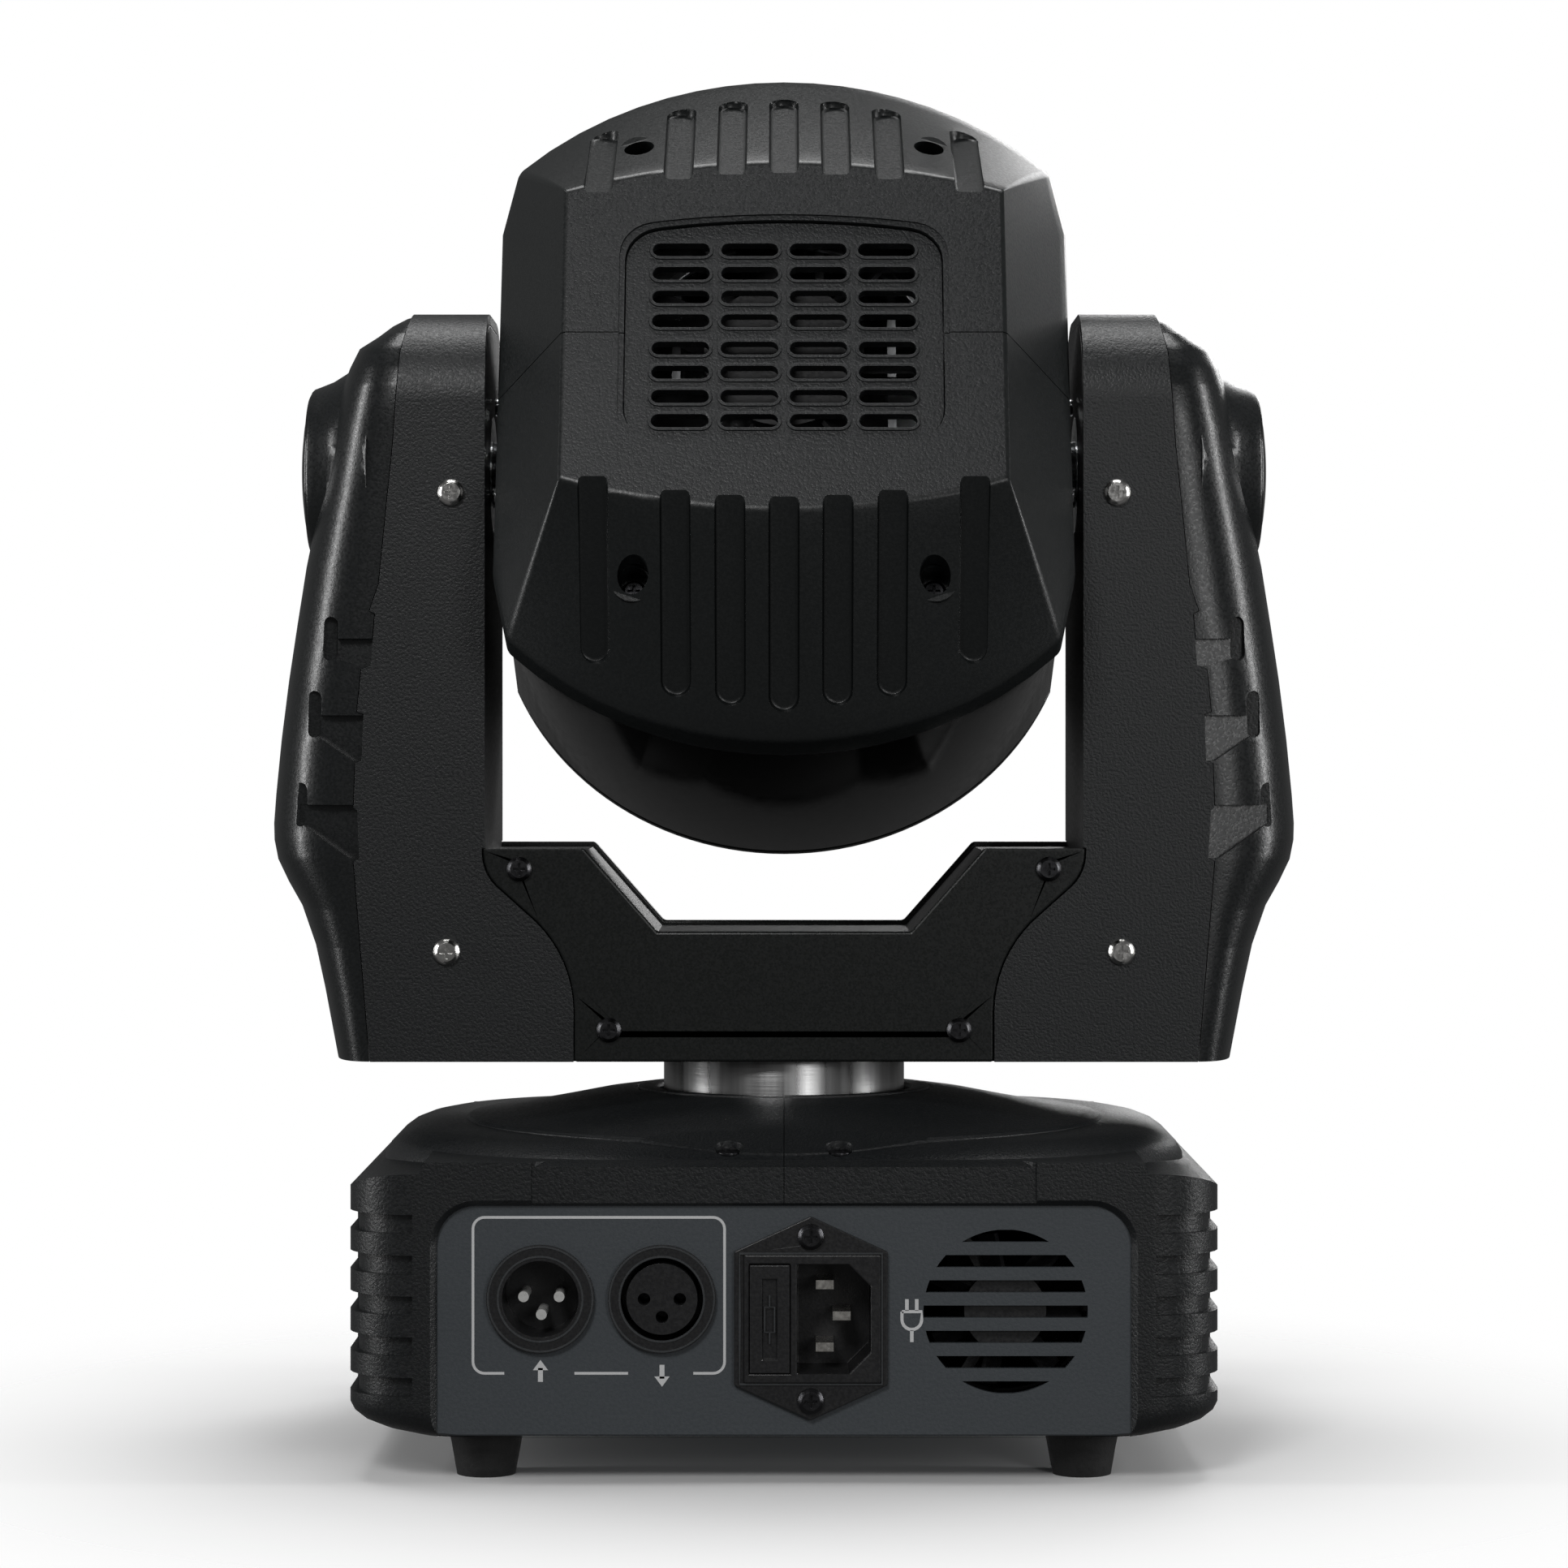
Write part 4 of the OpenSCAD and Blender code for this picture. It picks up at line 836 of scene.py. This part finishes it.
# Each pocket's middle, lowest and highest points, and the step in the seam that its thumb slope meets
pockets = (106.5, 185, 195.4, 183.8), (110.4, 167, 178, 161.6), (113.7, 146, 156.4, 138.7)
for front in (-1, 1):
    for x, low, high, step in pockets:
        edge = across_at(seam_line, low)
        carve(arm_cover, [loft("pocket", [
            [(px, front * y, pz) for px, pz in (arc(x, high - r, r, 0, 180, 8)
                                                + arc(x, low + r, r, 180, 360, 8))]
            for y, r in ((40, 2.6), (31, 1.8), (28.6, 1.3))])])
        wedge = [(x + 0.2, low + 5.2), (edge - 4, low + 5.2), (edge - 4, step), (edge + 1.4, step),
                 (x + 0.2, low + 1)]
        carve(arm_cover, [loft("thumb_slope", [
            [(px, front * 40, pz) for px, pz in wedge],
            [(px, front * (31.7 - max(0, px - edge) * 0.26), pz) for px, pz in wedge]])])
cover_satin = grained("cover_satin", dark=(0.0056, 0.0066, 0.0070), light=(0.0078, 0.0090, 0.0096),
                      roughness=0.3, grains=1500, depth=0.000015)
both_sides(arm_cover, "arm_cover", "yoke", cover_satin, 0.5, angle=36)


# --- Hub caps ---
# Domed caps of glossy black plastic snapped over the ends of the tilt axle, each with a ring groove.
hub_gloss = grained("hub_gloss", dark=(0.007, 0.0072, 0.0078), light=(0.010, 0.0103, 0.011),
                    roughness=0.2, spread=0.04, grains=500, depth=0.000003, coat=0.3)
cap_profile = [(0.05, 112.6), (19.4, 112.6), (19.7, 113.3), (19.5, 113.8), (18.9, 114.1), (17.8, 114.2),
               (17.4, 113.7), (16.7, 113.7), (16.4, 114.35), (14, 114.9), (10.5, 115.4), (6, 115.75),
               (0.05, 115.9)]
caps = about_tilt("hub_cap", cap_profile)
cap_pair = join("hub_cap_mouldings", [mirrored(caps, "left_cap"), caps])
place_piece(cap_pair, Matrix(), "yoke", hub_gloss, ["hub_caps"], 0, angle=50)


# --- Tilt drive ---
# Ball bearings in both arms carry the head. The right arm holds a stepper motor that drives it by
# a toothed belt.
for node, material in (("tilt_bearings", bearing_steel), ("tilt_motor", motor_black),
                       ("tilt_motor_pulley", bare_aluminium), ("tilt_belt", belt_rubber)):
    dress(node, material, 0.2 * MM)


# --- Yoke screws ---
# Nickel-plated pan-head screws fix the arm shells, and small black ones the covers.
bright_nickel = plated("bright_nickel", colour=(0.70, 0.69, 0.67), roughness=0.2)
dress("arm_screws", bright_nickel, 0.2 * MM)
dress("cover_screws", black_zinc, 0.15 * MM)


# --- Rear shells ---
# The back of the head is two clamshell halves of ABS, split level with the tilt axis and held to the
# head frame by four long screws. The flat back is textured, and the fluted slopes are smoother.
def crown_height(x, half, middle, end):
    """Height of a crowned edge at x: an arc through middle at 0 and end at each side."""
    drop = middle - end
    radius = (half * half + drop * drop) / (2 * drop)
    return middle - radius + math.sqrt(radius * radius - x * x)


head_rest = math.radians(24)
head_place = Matrix.Translation(tilt_joint["pos_m"]) @ Matrix.Rotation(-head_rest, 4, "X")
plate_back, rim_back, rim_front = 71, 38, 31
plate_half, plate_middle, plate_end = 50.5, 44.8, 37.3
rim_half, rim_middle, rim_end, rim_side, rim_flat = 63.5, 87.6, 61.8, 67, 45
shell_wall = 2.4


def shell_size(share):
    """Half width, middle and end heights of the shell's crown, from the plate at 0 to the rim at 1."""
    swell = share + 0.1 * share * (1 - share)
    return (mix(plate_half, rim_half, swell), mix(plate_middle, rim_middle, swell),
            mix(plate_end, rim_end, swell))


def shell_ring(share, back, inset, corner, across=9):
    """The shells' outline at one depth: two crowned edges and two straight, slanting sides."""
    half, middle, end = (size - inset for size in shell_size(share))
    side = mix(plate_half, rim_side, share) - inset
    flat = mix(18, rim_flat, share)
    crown = [(half * k / across, crown_height(half * k / across, half, middle, end))
             for k in range(across, -across - 1, -1)]
    corner_here = [corner] + [0] * (2 * across - 1) + [corner]
    outline = [(side, -flat), (side, flat), *crown, (-side, flat), (-side, -flat),
               *[(-x, -z) for x, z in crown]]
    radii = [0, 0, *corner_here, 0, 0, *corner_here]
    return [(x, -back, z) for x, z in fillet(outline, radii)]


def shell_form(name, inset, front):
    """The outside of the shells, smaller by inset, from the flat back plate to the rim."""
    plate_corner, rim_corner = 0.6, 4.2
    rings = [shell_ring(0, plate_back - inset, inset + 0.75, 0.8)]
    for share in (0.02, 0.12, 0.3, 0.5, 0.7, 0.88, 0.97):
        rings.append(shell_ring(share, mix(plate_back, rim_back, share) - inset, inset,
                                plate_corner + (rim_corner - plate_corner) * share))
    rings.append(shell_ring(1, rim_back - 0.9 - inset * 0.3, inset, rim_corner))
    rings.append(shell_ring(1, front, inset, rim_corner))
    return loft(name, rings)


def block(name, outline, back, front):
    """A solid with an outline in [x, z], from back to front along the head."""
    return loft(name, [[(x, -depth, z) for x, z in outline] for depth in (back, front)])


def bowl_outline(radius, side, steps=96):
    return [(max(-side, min(side, radius * math.cos(math.tau * i / steps))),
             radius * math.sin(math.tau * i / steps)) for i in range(steps)]


def vent_outline(grow, corner=8.5, across=8):
    half = 36.2 + grow
    crown = [(half * k / across, crown_height(half * k / across, half, 29.4 + grow, 26.2 + grow))
             for k in range(across, -across - 1, -1)]
    crown = [crown[0]] + [p for p in crown[1:-1] if abs(p[0]) < half - corner] + [crown[-1]]
    radii = [corner] + [0] * (len(crown) - 2) + [corner]
    return fillet(crown + [(-x, -z) for x, z in crown], radii + radii)


flute_half, flute_depth = 3.45, 1.75


def flute(name, x, end_share, upward):
    """Cutter for one flute: a flat-floored channel down a slope, with a round end."""
    start = Vector((x, -plate_back, crown_height(x, *shell_size(0))))
    near_end = mix(plate_back, rim_back, end_share)
    end = Vector((x, -near_end, crown_height(x, *shell_size(end_share))))
    along = (end - start).normalized()
    out = Vector((0, -along.z, along.y))
    run = (end - start).length
    outline = [(-flute_half, -14), (flute_half, -14)] + arc(0, run - flute_half, flute_half, 0, 180, 10)
    rings = []
    round_from = run - flute_half
    for height, shrink in ((-flute_depth, 1.0), (-flute_depth + 0.35, 0.35), (-flute_depth + 1.1, 0),
                           (7, -0.6)):
        scale = (flute_half - shrink) / flute_half
        ring = []
        for across, down in outline:
            reach = min(down, round_from + (down - round_from) * scale)
            point = start + along * reach + out * height
            ring.append((point.x + across * scale, point.y, point.z))
        rings.append(ring)
    if not upward:
        rings = [[(px, py, -pz) for px, py, pz in ring] for ring in rings]
    return loft(name, rings)


rear_shell = shell_form("rear_shell", 0, rim_front)
carve(rear_shell, [shell_form("hollow", shell_wall, rim_front + shell_wall)])
carve(rear_shell, [block("mouth", bowl_outline(73.2, 67.2), rim_front + 6, rim_front - 6)])
flutes = []
# How far down the slope each flute reaches, from the middle one outwards
for upward, ends in ((True, (0.72, 0.73, 0.74, 0.77)), (False, (0.86, 0.845, 0.85, 0.83))):
    for side in (-1, 1):
        for x, end in zip((0, 12.1, 24.4, 42.9), ends):
            if x or side > 0:
                flutes.append(flute("flute", x * side, end, upward))
carve(rear_shell, flutes)
carve(rear_shell, [block("vent_edge", vent_outline(1.5), plate_back + 1, plate_back - 0.5)])
carve(rear_shell, [block("vent_hole", vent_outline(0.25), plate_back + 2, plate_back - 8)])
recess_x, recess_z, recess_radius, recess_floor = 34, 55.6, 3.55, 49
recesses = [(x, z) for x in (-recess_x, recess_x) for z in (-recess_z, recess_z)]
carve(rear_shell, [block("boss", round_outline(x, z, recess_radius + 1.6), 56, recess_floor - 2)
                   for x, z in recesses], "UNION")
carve(rear_shell, [block("recess", round_outline(x, z, recess_radius), plate_back, recess_floor)
                   for x, z in recesses])
shell_satin = grained("shell_satin", dark=(0.0060, 0.0073, 0.0075), light=(0.0080, 0.0095, 0.0097),
                      roughness=0.34, grains=1500, depth=0.000012)
for half, sign in (("upper", 1), ("lower", -1)):
    shell_half = linked("rear_shell_%s_moulding" % half, rear_shell.data.copy())
    keep = [(-100, 0.12 * sign), (100, 0.12 * sign), (100, 120 * sign), (-100, 120 * sign)]
    carve(shell_half, [block("keep", keep, 90, 10)], "INTERSECT")
    for material in (shell_satin, textured_black):
        shell_half.data.materials.append(material)
    for face in shell_half.data.polygons:
        face.material_index = 1 if face.normal.y < -0.97 and face.center.y < -plate_back + 0.8 else 0
    place_piece(shell_half, head_place, "head", None, ["rear_shell_" + half], 0.3)
bpy.data.objects.remove(rear_shell)


# --- Vent grille ---
# A separate moulded grille sits in the opening at the middle of the back, with four columns of
# slots. Each slot has a thin raised rim.
def stadium(x, z, half_length, half_height, steps=8):
    """Outline of a slot with round ends."""
    flat = half_length - half_height
    return (arc(x + flat, z, half_height, -90, 90, steps)
            + arc(x - flat, z, half_height, 90, 270, steps))


grille_face = plate_back - 1.6
slot_half, slot_half_height, slot_rim = 6.55, 1.65, 0.75
slots = [(column * 15.7 / 2, side * (3.55 + 6.2 * row)) for column in (-3, -1, 1, 3)
         for row in range(4) for side in (-1, 1)]
grille = block("vent_grille_moulding", vent_outline(0.05), grille_face, grille_face - 2.2)
carve(grille, [block("slot_rim", stadium(x, z, slot_half + slot_rim, slot_half_height + slot_rim),
                     grille_face + 0.45, grille_face - 1) for x, z in slots], "UNION")
carve(grille, [block("slot", stadium(x, z, slot_half, slot_half_height), grille_face + 3,
                     grille_face - 8) for x, z in slots])
place_piece(grille, head_place, "head", textured_black, ["vent_grille"], 0.16)


# --- Head fan ---
# An 80 mm axial fan behind the grille, screwed to the bulkhead, draws air over the heat sink.
dress("head_fan_frame", fan_plastic, 0.3 * MM)
dress("head_fan_rotor", fan_plastic, 0.2 * MM)


# --- Light engine ---
# A finned aluminium heat sink holds a white-faced board of LEDs, with seven clear acrylic lenses
# over them.
board_white = grained("board_white", dark=(0.74, 0.75, 0.74), light=(0.82, 0.82, 0.81),
                      roughness=0.4, grains=1500, depth=0.000005)
dress("heat_sink", bare_aluminium)
dress("led_board", board_white, 0.1 * MM)
dress("lenses", clear_glass("lens_acrylic", (0.97, 0.98, 0.98), 0.03))


# --- Front housing ---
# A round glossy black bowl with flattened sides holds the lenses behind its bezel.
gloss_black = grained("gloss_black", dark=(0.0016, 0.0020, 0.0018), light=(0.0022, 0.0027, 0.0024),
                      roughness=0.16, spread=0.03, grains=400, depth=0.000002, specular=0.13)
dress("front_housing", gloss_black, 0.6 * MM, 3)
dress("front_bezel", satin_black, 0.4 * MM, 3)


# --- Head frame ---
# An aluminium frame ties the housing, the heat sink and the two trunnions that the head tilts on.
dress("head_frame", bare_aluminium, 0.3 * MM)
dress("trunnions", bearing_steel, 0.3 * MM)
dress("tilt_driven_pulley", bare_aluminium, 0.2 * MM)
dress("head_screws", black_zinc, 0.15 * MM)
